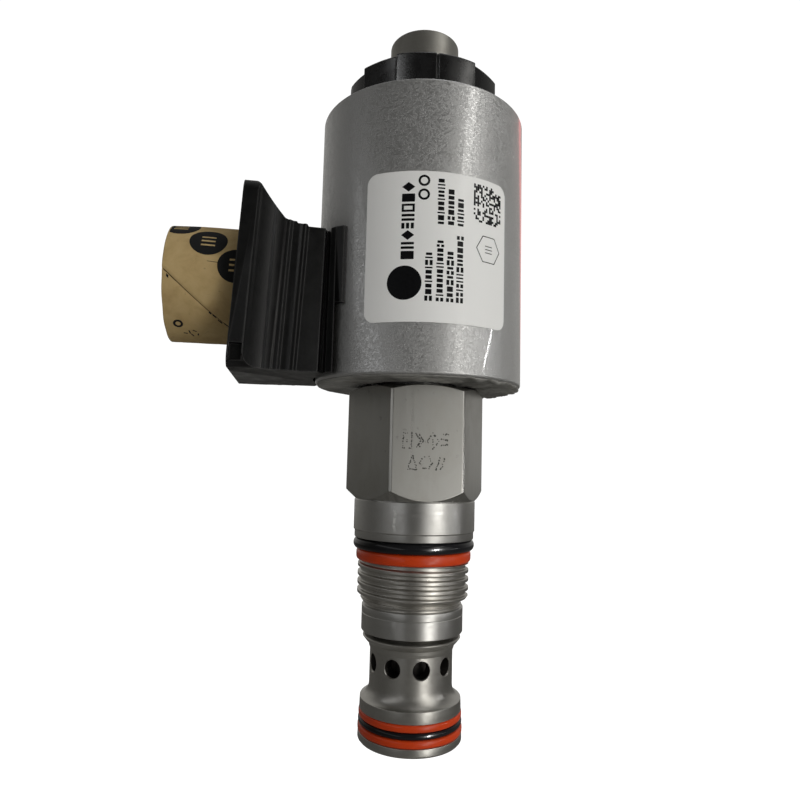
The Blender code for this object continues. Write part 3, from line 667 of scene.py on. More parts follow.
def place(obj, body, slot, *nodes):
    """Parents the piece to the empty of the body it rides on and hides the nodes it replaces. The
    slot is not used.
    """
    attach(obj, body)
    if nodes:
        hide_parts(*nodes)


def seal_ring(node, body, colour, radius, z, half_width, half_height,
              points=20, power=2.0, segs=96):
    """A ring with a rounded section. A higher power makes the section squarer."""
    section = []
    for i in range(points):
        a = 2 * math.pi * i / points
        c, s = math.cos(a), math.sin(a)
        section.append((radius + half_width * math.copysign(abs(c) ** (2.0 / power), c),
                        z + half_height * math.copysign(abs(s) ** (2.0 / power), s)))
    place(lathe(node + "_seen", section, colour, segs), body, "seal_" + colour, node)


# ----------------------------------------------------------------- valve body

SHOULDER = low("valve_body")
HEX_TOP = top("valve_body")
HEX_FLAT = 21.8 / 2  # from the axis to a flat
HEX_CORNER = 12.46  # radius the corners are turned down to
HEX_TURN = 0.35
HEX_LOW = 41.2
CHAMFER_START = HEX_FLAT - 0.05
UPPER_SLOPE = 0.83 / 1.61
LOWER_SLOPE = 1.0
LAND_R = 10.86
THREAD_HI, THREAD_LO = 30.4, 23.25
THREAD_STEP = 0.07
PITCH = 1.5
CREST_R = 9.9
THREAD_DEPTH = 0.55
# softened chamfer edge: (inset, drop)
CHAMFER_EDGE = ((0.10, 0.0), (0.03, 0.012), (0.006, 0.04), (0.0, 0.1))

# columns in degrees: extra ones sit on both sides of every hexagon edge
edge_angle = math.degrees(math.acos(HEX_FLAT / HEX_CORNER))
one_side = [-30.0, -edge_angle - 0.12, -edge_angle + 0.12, -28.2, -27.2]
one_side += list(np.arange(-25.5, 25.6, 1.5))
one_side += [27.2, 28.2, edge_angle - 0.12, edge_angle + 0.12]
columns = np.concatenate([HEX_TURN + 60.0 * k + np.array(one_side) for k in range(6)])
from_flat = (columns - HEX_TURN + 30.0) % 60.0 - 30.0
hex_r = np.minimum(HEX_FLAT / np.cos(np.radians(from_flat)), HEX_CORNER)


def hexagon_rows():
    rows = rounded([(5.5, HEX_TOP - 0.9), (6.2, HEX_TOP - 0.05, 0.2), (7.0, HEX_TOP)], 3, False)
    rows += [(9.0, HEX_TOP), (CHAMFER_START - 0.35, HEX_TOP), (CHAMFER_START - 0.06, HEX_TOP - 0.01)]
    z_up = HEX_TOP - (hex_r - CHAMFER_START) * UPPER_SLOPE
    z_down = HEX_LOW + (hex_r - LAND_R) * LOWER_SLOPE
    for inset, drop in CHAMFER_EDGE:
        rows.append((hex_r - inset, z_up + inset * UPPER_SLOPE - drop))
    for part in (0.25, 0.5, 0.75):
        rows.append((hex_r, z_up - 0.1 + (z_down + 0.1 - z_up + 0.1) * part))
    for inset, drop in reversed(CHAMFER_EDGE):
        rows.append((np.maximum(hex_r - inset, 10.8),
                     np.maximum(z_down - inset * LOWER_SLOPE + drop, HEX_LOW - 0.02)))
    return rows + [(10.70, HEX_LOW - 0.04)]


def land_rows():
    """The round part between the hexagon and the thread."""
    profile = [
        (10.6, HEX_LOW - 0.02), (10.70, HEX_LOW - 0.06), (LAND_R, HEX_LOW - 0.22, 0.06),
        (LAND_R, 35.85, 0.1), (10.67, 35.65, 0.05), (10.67, 34.45, 0.12), (8.6, 34.4, 0.2),
        (8.6, THREAD_HI + 0.05, 0.2), (9.6, THREAD_HI)]
    return rounded(profile, 3, False)[1:-1]


def thread_rows():
    """A real helix with flat crests and roots, steep flanks and a tapered lower end."""
    rows = []
    for z in np.arange(THREAD_HI, THREAD_LO - 0.001, -THREAD_STEP):
        phase = (z / PITCH + columns / 360.0) % 1.0
        t = np.abs(phase - 0.5) * 2.0
        height = np.clip((0.66 - t) / 0.32, 0.0, 1.0)
        height = height * height * (3 - 2 * height) * 0.6 + height * 0.4
        crest = CREST_R - max(0.0, 24.75 - z) * 0.72
        start = min(1.0, (THREAD_HI - z) / 0.12 + 0.2)
        rows.append((crest - THREAD_DEPTH * (1.0 - height * start), z))
    return rows


def neck_rows():
    """Below the thread, round the shoulder and back up the bore."""
    profile = [
        (8.62, 23.22), (8.50, 23.15, 0.1), (8.50, 22.85, 0.08), (8.98, 22.7, 0.1),
        (8.98, 21.52, 0.03), (8.91, 21.44, 0.02), (8.98, 21.36, 0.03), (8.98, 18.5, 0.1),
        (8.9, SHOULDER, 0.05), (7.2, SHOULDER + 0.05, 0.1), (7.0, SHOULDER + 0.25), (7.0, 26.35),
        (7.6, 26.35), (7.6, 27.65), (7.0, 27.65), (7.0, 38.0), (3.0, 38.0), (3.0, 50.0),
        (5.5, 50.0), (5.5, HEX_TOP - 0.9)]
    return rounded(profile, 3, False)[1:-1]


body = shaped_lathe("threaded_hex_body", columns,
                    hexagon_rows() + land_rows() + thread_rows() + neck_rows(), "body_turned")
body.data.materials.append(MATS["hex_bar"])
body.data.materials.append(MATS["thread_turned"])
centres = np.zeros(len(body.data.polygons) * 3)
body.data.polygons.foreach_get("center", centres)
centres = centres.reshape(-1, 3) / MM
face_z = centres[:, 2]
face_r = np.hypot(centres[:, 0], centres[:, 1])
on_hexagon = (face_z > HEX_LOW - 0.02) & (face_r > 8.9)
on_thread = (face_z < THREAD_HI + 0.05) & (face_z > 22.8) & (face_r > 8.2)
slots = np.where(on_hexagon, 1, np.where(on_thread, 2, 0))
body.data.polygons.foreach_set("material_index", slots.astype(int).tolist())
place(body, "cartridge", "body_steel", "valve_body")

# punched marks on the front flat: plain dotted shapes in two rows, thin dark sheets that paint the
# shade of the dents
UPPER_ROW, LOWER_ROW = 51.3, 47.7
SIX_SIDED = [(-0.25 + 1.05 * math.cos(math.radians(a)), 1.1 * math.sin(math.radians(a)))
             for a in range(0, 360, 60)]
# (row height, closed, dot spacing, [(x, height from the row)])
PUNCHED = (
    (UPPER_ROW, True, 0.33, [(-4.2, -1.2), (-2.8, -1.25), (-2.75, 1.2), (-4.15, 1.15)]),
    (UPPER_ROW, False, 0.26, [(-3.5, -0.2), (-3.5, 0.2)]),
    (UPPER_ROW, False, 0.24, [(-2.05, 1.1), (-1.2, 0.0), (-2.0, -1.15)]),
    (UPPER_ROW, False, 0.3, [(-1.55, 1.1), (-0.75, 0.0), (-1.5, -1.15)]),
    (UPPER_ROW, True, 0.33, [(-0.15, 0.0), (0.85, 1.3), (1.85, 0.0), (0.85, -1.3)]),
    (UPPER_ROW, False, 0.26, [(0.85, -0.5), (0.85, 0.5)]),
    (UPPER_ROW, False, 0.26, [(2.4, 1.25), (3.7, 1.1)]),
    (UPPER_ROW, False, 0.26, [(2.3, 0.3), (3.6, 0.2)]),
    (UPPER_ROW, False, 0.3, [(2.35, -0.6), (3.6, -0.55)]),
    (LOWER_ROW, True, 0.28, [(-3.3, -1.1), (-2.55, 1.1), (-1.8, -1.1)]),
    (LOWER_ROW, True, 0.33, SIX_SIDED),
    (LOWER_ROW, False, 0.26, [(1.5, -1.1), (2.2, 1.1)]),
    (LOWER_ROW, False, 0.28, [(2.3, -1.1), (3.0, 1.1)]),
)


def capsule(cx, cz, degrees, length, width):
    """Outline of a short bar with round ends."""
    c, s = math.cos(math.radians(degrees)), math.sin(math.radians(degrees))
    outline = []
    for end, half_turn in ((1, 0), (-1, math.pi)):
        for k in range(6):
            a = math.radians(-90 + 180 * k / 5) + half_turn
            x, z = end * length / 2 + width / 2 * math.cos(a), width / 2 * math.sin(a)
            outline.append((cx + x * c - z * s, cz + x * s + z * c))
    return outline


def dotted(rng, points, closed, spacing):
    """A row of small uneven dots along a broken line, with some left out."""
    dots = []
    line = points + [points[0]] if closed else points
    for (x0, z0), (x1, z1) in zip(line, line[1:]):
        count = max(1, int(round(math.hypot(x1 - x0, z1 - z0) / spacing)))
        for k in range(count):
            if rng.random() < 0.13:
                continue
            t = (k + rng.uniform(-0.12, 0.12)) / count
            width = rng.uniform(0.13, 0.27)
            x = x0 + (x1 - x0) * t + rng.uniform(-0.05, 0.05)
            z = z0 + (z1 - z0) * t + rng.uniform(-0.05, 0.05)
            degrees = rng.uniform(0, 180)
            dots.append(capsule(x, z, degrees, rng.uniform(0.03, 0.14), width))
    return dots


def punch_marks():
    rng = random.Random(7)
    dots = []
    for row, closed, spacing, points in PUNCHED:
        dots += dotted(rng, [(x, row + z) for x, z in points], closed, spacing)
    verts, faces = [], []
    for outline in dots:
        dx, dz = rng.uniform(-0.05, 0.05), rng.uniform(-0.05, 0.05)
        faces += prism_faces(len(outline), len(verts))
        for height in (-0.03, 0.006):
            verts += [(x + dx, -(HEX_FLAT + height), z + dz) for x, z in outline]
    obj = new_object("hex_punch_marks", verts, faces, "stamp", smooth=False, weighted=False)
    transform(obj, turn(HEX_TURN, "Z"))
    return obj


place(punch_marks(), "cartridge", "body_steel")

seal_ring("body_backup_ring", "cartridge", "orange", radius=9.45, z=31.47, half_width=0.80,
          half_height=0.98, points=22, power=3.6, segs=192)
seal_ring("body_o_ring", "cartridge", "black", radius=9.86, z=33.40, half_width=0.95,
          half_height=0.98, points=26, power=2.2, segs=192)

# -------------------------------------------------------------- solenoid tube

TUBE_TOP = top("guide_tube")
TUBE_IN, TUBE_OUT, TUBE_LOW = 5.6, 6.53, 87.0
tube = rounded([(TUBE_IN, TUBE_TOP - 0.02, 0.1), (TUBE_OUT, TUBE_TOP, 0.42),
                (TUBE_OUT, TUBE_LOW, 0.1), (TUBE_IN, TUBE_LOW, 0.1)], 5)
place(lathe("guide_tube_seen", tube, "tube_turned"), "cartridge", "tube_steel", "guide_tube")

PLUG_TOP = TUBE_TOP - 0.2
plug = rounded([
    (2.0, PLUG_TOP, 0.15), (3.0, PLUG_TOP, 0.1), (3.15, PLUG_TOP - 0.35, 0.08),
    (4.4, PLUG_TOP - 0.35, 0.08), (4.55, PLUG_TOP, 0.1), (5.3, PLUG_TOP, 0.2), (5.3, 118.2),
    (3.9, 118.2), (3.9, 115.8), (5.3, 115.8), (5.3, 110.6, 0.2), (2.0, 110.6, 0.1), (2.0, 119.3),
    (2.9, 119.3), (2.9, 120.7), (2.0, 120.7)], 3)
place(lathe("tube_end_plug_seen", plug, "tube_turned", 96), "cartridge", "tube_steel",
      "tube_end_plug")

PIN_TOP = top("override_pin")
pin = rounded([(0.25, PIN_TOP - 0.25, 0.1), (0.7, PIN_TOP, 0.12), (1.7, PIN_TOP, 0.3),
               (1.7, 110.3, 0.1), (3.0, 110.3, 0.15), (3.0, 108.3, 0.15), (0.25, 108.3)], 4, False)
place(lathe("override_pin_seen", pin, "spool", 64, capped=True), "override", "spool_steel",
      "override_pin")

# ---------------------------------------------------------------------- coil

COIL_LO, COIL_HI = low("coil_shell"), top("coil_shell")
COIL_R = 18.7
COIL_BORE = 7.05
COIL_IN = 16.9
COIL_ROOF = 3.0
shell = rounded([
    (COIL_BORE, COIL_HI, 0.2), (COIL_R, COIL_HI, 0.35), (COIL_R, COIL_LO, 0.45),
    (COIL_IN, COIL_LO + 0.05, 0.2), (COIL_IN, COIL_HI - COIL_ROOF),
    (COIL_BORE, COIL_HI - COIL_ROOF)], 6)
coil = lathe("coil_can", shell, "coil_blasted", 256)
# window in the wall behind the terminal housing
cut(coil, prism(rect(-20.5, -15.5, -4, 4), 73.0, 83.0))
place(coil, "coil", "coil_silver", "coil_shell")

# (radius, z) round the resin's underside; points above RESIN_FLAT stay smooth
RESIN_PROFILE = (
    (9.3, 63.6), (9.3, 62.4), (9.5, 61.7), (10.0, 61.3), (10.8, 61.15), (11.6, 61.1),
    (12.4, 61.1), (13.2, 61.1), (14.0, 61.1), (14.8, 61.1), (15.6, 61.1), (16.4, 61.08),
    (17.0, 61.05), (17.5, 61.02), (17.95, 61.05), (18.25, 61.15), (18.4, 61.35), (18.35, 61.46),
    (16.75, 61.46), (16.65, 61.7), (16.65, 63.6))
RESIN_FLAT = 61.40


def lumpy_point(r, z, angle):
    """Rough and lumpy on the side away from the terminal, smoother next to it."""
    spot = Vector((r * math.sin(angle), r * math.cos(angle), 0.0))
    side = min(1.0, max(0.0, 0.45 + 0.9 * math.sin(angle)))
    bump = (noise.noise(spot * 0.5) * 0.50 + noise.noise(spot * 1.2) * 0.26 * side
            + noise.noise(spot * 2.6) * 0.06 * side)
    z = min(z + (0.22 + 0.78 * side) * (bump * 0.8 - 0.06), RESIN_FLAT)
    if r > 17.9:
        r += 0.10 * side * noise.noise(spot * 0.7)
    return r, z


def cast_resin():
    """The lumpy ring of resin in the coil's lower end."""
    degrees = np.arange(300) * 1.2
    rows = []
    for r, z in RESIN_PROFILE:
        if z > RESIN_FLAT:
            rows.append((r, z))
        else:
            points = [lumpy_point(r, z, a) for a in np.radians(degrees)]
            rows.append(tuple(np.array(points).T))
    return shaped_lathe("coil_resin", degrees, rows, "resin")


place(cast_resin(), "coil", "resin_dark", "coil_potting")
seal_ring("coil_lower_seal", "coil", "black", radius=7.95, z=62.35, half_width=0.8,
          half_height=0.85)

# ----------------------------------------------------------------------- nut

NUT_LO, NUT_HI = low("coil_nut"), top("coil_nut")
NUT_TURN = -0.5
# degrees from the middle of a lobe, over a quarter turn
NUT_COLUMNS = [
    0.0, 0.35, 0.6, 0.8, 1.0, 1.3, 3.0, *np.linspace(5.0, 27.0, 9), 28.4, 29.0, 29.4, 29.7,
    29.95, 30.3, 30.8, 31.4, 33.0, 36.0, 39.5, 43.0, 46.5, 50.0, 53.0, 56.0, 58.0, 59.2, 59.7,
    60.0, 60.25, 60.6, 61.2, 63.0, 67.0, 72.0, 77.0, 82.0, 86.0]


def rim_radius(degrees):
    t = abs(degrees)
    if t > 90.0:
        t = 180.0 - t
    if t > 60.0:
        # drops in past the corner and climbs again toward the side
        u = (t - 60.0) / 26.0
        return 12.98 + 1.07 * min(1.0, u) ** 1.3 + 0.75 * max(0.0, 1.0 - u / 0.035) ** 1.5
    if t >= 29.8:
        # steps in beside the lobe and climbs slowly to the next corner
        u = (t - 29.8) / 30.4
        return 13.44 + 0.60 * u ** 2.2 + 0.34 * max(0.0, 1.0 - u / 0.045) ** 1.5
    radius = 13.76 + 0.32 * (t / 29.8) ** 2.4
    if t < 1.1:
        # narrow groove down the middle of the lobe
        radius -= 0.30 * max(0.0, 1.0 - (t / 0.95) ** 2)
    return radius


def coil_nut():
    quarter = NUT_COLUMNS
    turns = sorted(set(quarter + [-t for t in quarter] + [180.0 - t for t in quarter]
                       + [t - 180.0 for t in quarter[1:]] + [90.0, -90.0]))
    rim = np.array([rim_radius(t) for t in turns])
    # up the bore and over the top face, which has a round groove: (radius, z)
    rows = [
        (6.88, NUT_LO + 2.2), (6.88, NUT_HI - 1.5), (7.0, NUT_HI - 1.32), (8.0, NUT_HI - 0.2),
        (8.25, NUT_HI - 0.03), (8.5, NUT_HI), (10.8, NUT_HI), (10.95, NUT_HI - 0.12),
        (11.05, NUT_HI - 0.35), (12.0, NUT_HI - 0.35), (12.1, NUT_HI - 0.12), (12.22, NUT_HI)]
    for inset, drop in ((0.75, 0.0), (0.42, 0.03), (0.2, 0.13), (0.06, 0.3), (0.0, 0.5)):
        rows.append((rim - inset, NUT_HI - drop))
    for part in (0.33, 0.66):
        rows.append((rim, NUT_HI - 0.5 + (NUT_LO + 0.35 - NUT_HI + 0.5) * part))
    for inset, rise in ((0.0, 0.3), (0.04, 0.12), (0.13, 0.03), (0.3, 0.0)):
        rows.append((rim - inset, NUT_LO + rise))
    # recess in the underside
    rows += [(9.1, NUT_LO), (8.95, NUT_LO + 0.1), (8.9, NUT_LO + 0.3), (8.9, NUT_LO + 1.6),
             (8.7, NUT_LO + 1.8), (7.1, NUT_LO + 1.8)]
    return shaped_lathe("lobed_coil_nut", np.array(turns) + NUT_TURN, rows, "nut_black")


place(coil_nut(), "nut", "nut_plastic", "coil_nut")
seal_ring("nut_seal_ring", "nut_seal", "black", radius=7.85, z=111.2, half_width=0.7,
          half_height=0.68)

# ---------------------------------------------------------------- nose sleeve

WAIST_R = 7.3
HOLES = 9
HOLE_Z = 13.2
HOLE_TURN = 4.2
FLARE = [(WAIST_R + 1.40 * (1.0 - math.cos(math.radians(q))), 9.5 - 2.3 * math.sin(math.radians(q)))
         for q in range(9, 91, 9)]
# (radius, z, corner radius) down the outside and back up the bore
SLEEVE = [
    (6.2, 37.0, 0.1), (6.6, 36.6, 0.2), (6.6, 27.65), (6.3, 27.65), (6.3, 26.35), (6.6, 26.35),
    (6.6, 17.75, 0.1), (8.45, 17.6, 0.1), (8.68, 17.4, 0.1), (7.98, 16.55, 0.25),
    (7.62, 16.3, 0.1), (7.50, 15.7, 0.25), (WAIST_R, 15.2, 0.3), (WAIST_R, 9.75, 0.1), *FLARE,
    (8.84, 7.14, 0.05), (8.86, 6.72, 0.08), (8.90, 5.22, 0.08), (7.6, 5.22), (7.6, 1.5),
    (9.06, 1.5, 0.08), (9.08, 0.34, 0.12), (8.78, 0.0, 0.12), (5.75, 0.0, 0.1), (5.6, 0.15),
    (5.6, 2.3), (4.8, 2.3), (4.8, 37.0)]
# a drill with a narrow broken edge where it comes out
HOLE_DRILL = [(0.02, 10.0), (1.95, 10.0), (1.60, 7.26), (1.50, 7.12), (1.45, 7.0), (1.45, 3.9),
              (0.02, 3.9)]

nose = lathe("floating_nose", rounded(SLEEVE, 4), "nose_turned", 252)
drills = [drill(HOLE_DRILL, 48, move(0, 0, HOLE_Z) @ turn(HOLE_TURN + 360 / HOLES * i, "Z")
                @ turn(90, "X")) for i in range(HOLES)]
cut(nose, join_meshes("drills", drills, "dark"))
smooth_all(nose)
nose.data.set_sharp_from_angle(angle=math.radians(28))
paint_shade_inside(nose, z_low=11.3, z_high=15.1, r_low=4.5, r_high=6.93)
place(nose, "nose", "nose_steel", "nose_sleeve")

seal_ring("nose_backup_lower", "nose", "orange", radius=8.36, z=2.14, half_width=0.76,
          half_height=0.66, points=22, power=3.6, segs=192)
seal_ring("nose_o_ring", "nose", "black", radius=8.40, z=3.36, half_width=0.66,
          half_height=0.60, points=22, power=2.2, segs=192)
seal_ring("nose_backup_upper", "nose", "orange", radius=8.25, z=4.57, half_width=0.76,
          half_height=0.64, points=22, power=3.6, segs=192)

SEAT_HOLE_R = 3.2  # circle the seat's four holes lie on
SEAT_DRILL = [(0.02, 3.0), (0.8, 3.0), (0.8, 0.15), (1.2, -0.25), (0.02, -0.25)]
seat_profile = rounded([(0.02, 2.0), (5.1, 2.0, 0.1), (5.3, 1.8, 0.1), (5.3, 0.0, 0.2),
                        (0.02, 0.0)], 4, False)
seat = lathe("spring_seat_seen", seat_profile, "spool", 96, capped=True)
drills = []
for i in range(4):
    a = math.radians(45 + 90 * i)
    drills.append(drill(SEAT_DRILL, 32,
                        move(SEAT_HOLE_R * math.cos(a), SEAT_HOLE_R * math.sin(a), 0)))
cut(seat, join_meshes("seat_drills", drills, "dark"))
smooth_all(seat)
place(seat, "nose", "spool_steel", "spring_seat")

# --------------------------------------------------------------------- spool

SPOOL_LO, SPOOL_HI = low("spool"), top("spool")
SPOOL_R = 4.7


def spool_profile():
    profile = [(0.05, SPOOL_HI), (4.0, SPOOL_HI, 0.1), (SPOOL_R, SPOOL_HI - 0.5, 0.1)]
    for groove in (30.0, 26.0, 22.0):
        profile += [(SPOOL_R, groove + 0.3, 0.03), (4.4, groove + 0.2, 0.05),
                    (4.4, groove - 0.2, 0.05), (SPOOL_R, groove - 0.3, 0.03)]
    profile += [
        (SPOOL_R, 17.7, 0.05), (4.1, 17.4, 0.1), (4.1, 15.8, 0.1), (SPOOL_R, 15.5, 0.05),
        (SPOOL_R, 15.35, 0.05), (3.95, 15.0, 0.1), (3.95, 11.5, 0.1), (SPOOL_R, 11.2, 0.05),
        (SPOOL_R, SPOOL_LO, 0.15), (3.82, SPOOL_LO, 0.1), (3.82, 11.12), (2.5, 11.12, 0.1),
        (2.5, 18.4), (0.05, 19.2)]
    return rounded(profile, 3, False)


spool = lathe("spool_seen", spool_profile(), "spool", 96, capped=True)
for angle in (45, 135):
    # a cross hole right through
    cut(spool, drill([(0.02, 6.0), (0.75, 6.0), (0.75, -6.0), (0.02, -6.0)], 28,
                     move(0, 0, 16.6) @ turn(angle, "Z") @ turn(90, "X")))
smooth_all(spool)
paint_shade_inside(spool, z_low=11.15, z_high=15.45, r_low=3.5)
place(spool, "spool", "spool_steel", "spool")

# ---------------------------------------------------------- terminal housing

FACE_X = -32.3
HOUSING_LO, HOUSING_HI = low("terminal_housing"), top("terminal_housing")
NECK_Z = 87.4
TERMINAL_Z = 78.0  # height of the terminal's axis
HALF_WIDTH = 13.5
CORNER_R = 2.4
LEAN = 0.05  # how far the outer end leans, per millimetre of height
# (x, half width, corner radius) from the outer face to the coil
SIDE = [
    (FACE_X, HALF_WIDTH, 0.25), (-29.85, HALF_WIDTH, 0.2), (-29.5, 13.1, 0.1),
    *[(-29.4 + 4.1 * i / 12.0, 10.72 + 2.28 * (1.0 - i / 12.0) ** 2.1) for i in range(13)],
    (-25.0, 10.68, 0.3), (-24.5, 10.95, 0.24), (-23.95, 10.45, 0.3), (-22.4, 10.38, 0.3),
    (-21.85, 10.64, 0.22), (-21.3, 10.1, 0.3), (-18.25, 9.95, 0.25), (-18.0, 8.8, 0.12),
    (-17.5, 8.7, 0.12), (-17.25, 10.2, 0.15), (-16.4, 11.2, 0.3), (-15.2, 12.05, 0.2),
    (-14.6, 11.75), (-10.0, 11.75)]
# (x, z, corner radius) of what is cut away above the neck
ABOVE_NECK = [
    (-30.45, HOUSING_HI + 0.01), (-25.3, NECK_Z + 0.25, 0.25), (-24.7, NECK_Z - 0.02, 0.3),
    (-23.4, NECK_Z - 0.06, 0.1), (-23.2, NECK_Z - 0.35, 0.1), (-21.6, NECK_Z - 0.42, 0.1),
    (-21.4, NECK_Z - 0.7, 0.1), (0.0, NECK_Z - 0.75), (0.0, 100.0), (-30.45, 100.0)]
# round features on the face: (radius, outer end, inner end, segments, operation)
FACE_ROUNDS = (
    (8.1, FACE_X - 1.3, FACE_X + 0.6, 72, "UNION"),
    (3.4, FACE_X - 6.3, FACE_X + 0.6, 48, "UNION"),
    (2.5, FACE_X - 7.3, FACE_X + 1.0, 40, "DIFFERENCE"))
# (y, z from the axis, half width in y, half height)
BLADE_POCKETS = ((-8.9, 0, 0.7, 3.3), (8.9, 0, 0.7, 3.3), (0, -8.9, 3.3, 0.7))


def rounded_front_view():
    """A prism along X that rounds the housing's four long corners."""
    wide = HALF_WIDTH - CORNER_R
    z_low, z_high = HOUSING_LO + CORNER_R, HOUSING_HI - CORNER_R
    outline = []
    for cx, cy, first in ((wide, z_low, -90), (wide, z_high, 0), (-wide, z_high, 90),
                          (-wide, z_low, 180)):
        for k in range(9):
            a = math.radians(first + 90 * k / 8)
            outline.append((cx + CORNER_R * math.cos(a), cy + CORNER_R * math.sin(a)))
    tool = prism(outline, -20.0, 20.0)
    transform(tool, move(-25.0, 0, 0) @ turn(-90, "Z") @ turn(90, "X"))
    return tool


def terminal_housing():
    side = rounded(SIDE, 4, False)
    plan = [(x, -half) for x, half in side] + [(x, half) for x, half in reversed(side)]
    housing = prism(plan, HOUSING_LO, HOUSING_HI, "terminal_base", "terminal_black")
    slope = prism(rounded(ABOVE_NECK, 4), -20.0, 20.0)
    transform(slope, turn(90, "X"))
    cut(housing, slope)
    cut(housing, rounded_front_view(), "INTERSECT")
    # seat for the coil can
    seat_r = COIL_R + 0.04
    cut(housing, drill([(0.02, 100.0), (seat_r, 100.0), (seat_r, 55.0), (0.02, 55.0)], 256))
    # small notch low in the front edge of the flange
    cut(housing, prism(rect(FACE_X + 0.3, FACE_X + 2.3, -HALF_WIDTH - 1, -HALF_WIDTH + 1.3),
                       63.1, 65.75))
    # relief beside the coil on the front: the lip is shorter over the lower half
    cut(housing, prism(rect(-16.25, -10.0, -13.0, -9.3), 50.0, 73.7))
    for radius, x0, x1, segs, operation in FACE_ROUNDS:
        profile = [(0.02, -x1), (radius, -x1), (radius, -x0), (0.02, -x0)]
        cut(housing, drill(profile, segs, move(0, 0, TERMINAL_Z) @ turn(-90, "Y")), operation)
    for y, dz, half_y, half_z in BLADE_POCKETS:
        cut(housing, prism(rect(-34.0, -27.2, y - half_y, y + half_y),
                           TERMINAL_Z + dz - half_z, TERMINAL_Z + dz + half_z))
    # the lean fades in between the coil and the flange
    for vert in housing.data.vertices:
        x, z = vert.co.x / MM, vert.co.z / MM
        fade = min(1.0, max(0.0, (-16.6 - x) / 4.6))
        vert.co.x += LEAN * (z - TERMINAL_Z) * fade * MM
    housing.data.update()
    bevel_edges(housing, width=0.16, segments=3, angle=30.0).miter_outer = "MITER_ARC"
    smooth_all(housing)
    even_normals(housing)
    return housing


place(terminal_housing(), "coil", "terminal_plastic", "terminal_housing")

# ------------------------------------------------------------- rating label


def thick_patch(name, outline, mat, cells, bend, face_up=False):
    """A flat outline cut into strips, thickened, and bent onto a curved surface.

    cells lists (axis, strip width). bend(u, v, is_top) gives the point in millimetres.
    face_up turns the flat faces upward before they are thickened.
    """
    bm = bmesh.new()
    bm.faces.new([bm.verts.new((u, v, 0.0)) for u, v in outline])
    for axis, cell in cells:
        normal = [0, 0, 0]
        normal[axis] = 1
        end = max(p[axis] for p in outline)
        at = math.ceil(min(p[axis] for p in outline) / cell) * cell
        while at < end:
            bmesh.ops.bisect_plane(bm, geom=bm.verts[:] + bm.edges[:] + bm.faces[:], dist=1e-6,
                                   plane_co=[at * n for n in normal], plane_no=normal)
            at += cell
    if face_up:
        bmesh.ops.recalc_face_normals(bm, faces=bm.faces)
        for face in bm.faces:
            if face.normal.z < 0:
                face.normal_flip()
    extruded = bmesh.ops.extrude_face_region(bm, geom=bm.faces[:])["geom"]
    upper = {item for item in extruded if isinstance(item, bmesh.types.BMVert)}
    for vert in bm.verts:
        vert.co = [v * MM for v in bend(vert.co.x, vert.co.y, vert in upper)]
    bmesh.ops.recalc_face_normals(bm, faces=bm.faces)
    return object_from_bmesh(name, bm, mat)


LABEL_R = 18.735
LABEL_LO, LABEL_HI = low("rating_label"), top("rating_label")
LABEL_HALF = math.radians(38.3) * LABEL_R


def label_sheet(name, outline, bottom, upper, mat, cell):
    """An outline in (arc, z) laid on the coil between two heights over the label's radius."""
    def bend(arc, z, is_top):
        a = arc / LABEL_R
        r = LABEL_R + (upper if is_top else bottom)
        return r * math.sin(a), -r * math.cos(a), z
    return thick_patch(name, outline, mat, [(0, cell)], bend, face_up=True)


label = label_sheet("rating_label_seen",
                    rect(-LABEL_HALF, LABEL_HALF, LABEL_LO, LABEL_HI, corner=1.8, steps=8),
                    bottom=0.0, upper=0.09, mat="film", cell=0.6)
smooth_all(label)
label.data.set_sharp_from_angle(angle=math.radians(40))
place(label, "coil", "label_white", "rating_label")

MARKS = ("solid", "bars", "diamond", "ticks", "bars", "hollow", "solid", "diamond")
MARK_STEP = {"solid": 1.68, "bars": 1.48, "diamond": 1.86, "ticks": 1.28, "hollow": 1.68}
# (degrees from the camera's side, z start, z end) of the rows of dashes
DASH_LINES = (
    (4.3, 73.0, 80.9), (9.8, 73.0, 83.2), (9.8, 85.6, 93.4), (14.9, 73.0, 81.2),
    (14.9, 85.6, 91.6), (19.9, 73.0, 84.2), (19.9, 85.6, 90.3))


def label_arc(degrees):
    """Arc length on the label for an angle from the camera's side."""
    return math.radians(degrees + VIEW_AZIMUTH) * LABEL_R


def mark_outlines(kind, middle, z):
    """One mark of the row, starting at height z."""
    left, right = middle - 1.05, middle + 1.05
    if kind == "solid":
        return [rect(left, right, z, z + 1.35, 0.12)]
    if kind == "bars":
        return [rect(left, right, z + 0.72 * k, z + 0.72 * k + 0.42, 0.1) for k in range(2)]
    if kind == "diamond":
        return [[(left, z + 0.8), (middle, z), (right, z + 0.8), (middle, z + 1.6)]]
    if kind == "ticks":
        return [rect(left + 0.76 * k, left + 0.76 * k + 0.5, z, z + 0.95, 0.06)
                for k in range(3)]
    line, end = 0.36, z + 1.35
    return [rect(left, right, z, z + line), rect(left, right, end - line, end),
            rect(left, left + line, z + line, end - line),
            rect(right - line, right, z + line, end - line)]


def dash_line(rng, degrees, z, z_end):
    """A row of short full, thin and split dashes."""
    outlines = []
    arc = label_arc(degrees)
    half = 0.6
    while z < z_end - 0.3:
        width = min(rng.choice((0.42, 0.62, 0.62, 0.85)), z_end - z)
        kind = rng.random()
        if kind < 0.55:
            outlines.append(rect(arc - half + 0.1, arc + half - 0.1, z, z + width, 0.08))
        elif kind < 0.8:
            outlines.append(rect(arc - half, arc + half, z + 0.05, z + 0.3))
            width = 0.34
        else:
            outlines.append(rect(arc - half, arc - 0.12, z, z + width))
            outlines.append(rect(arc + 0.12, arc + half, z, z + width))
        z += width + 0.22
    return outlines


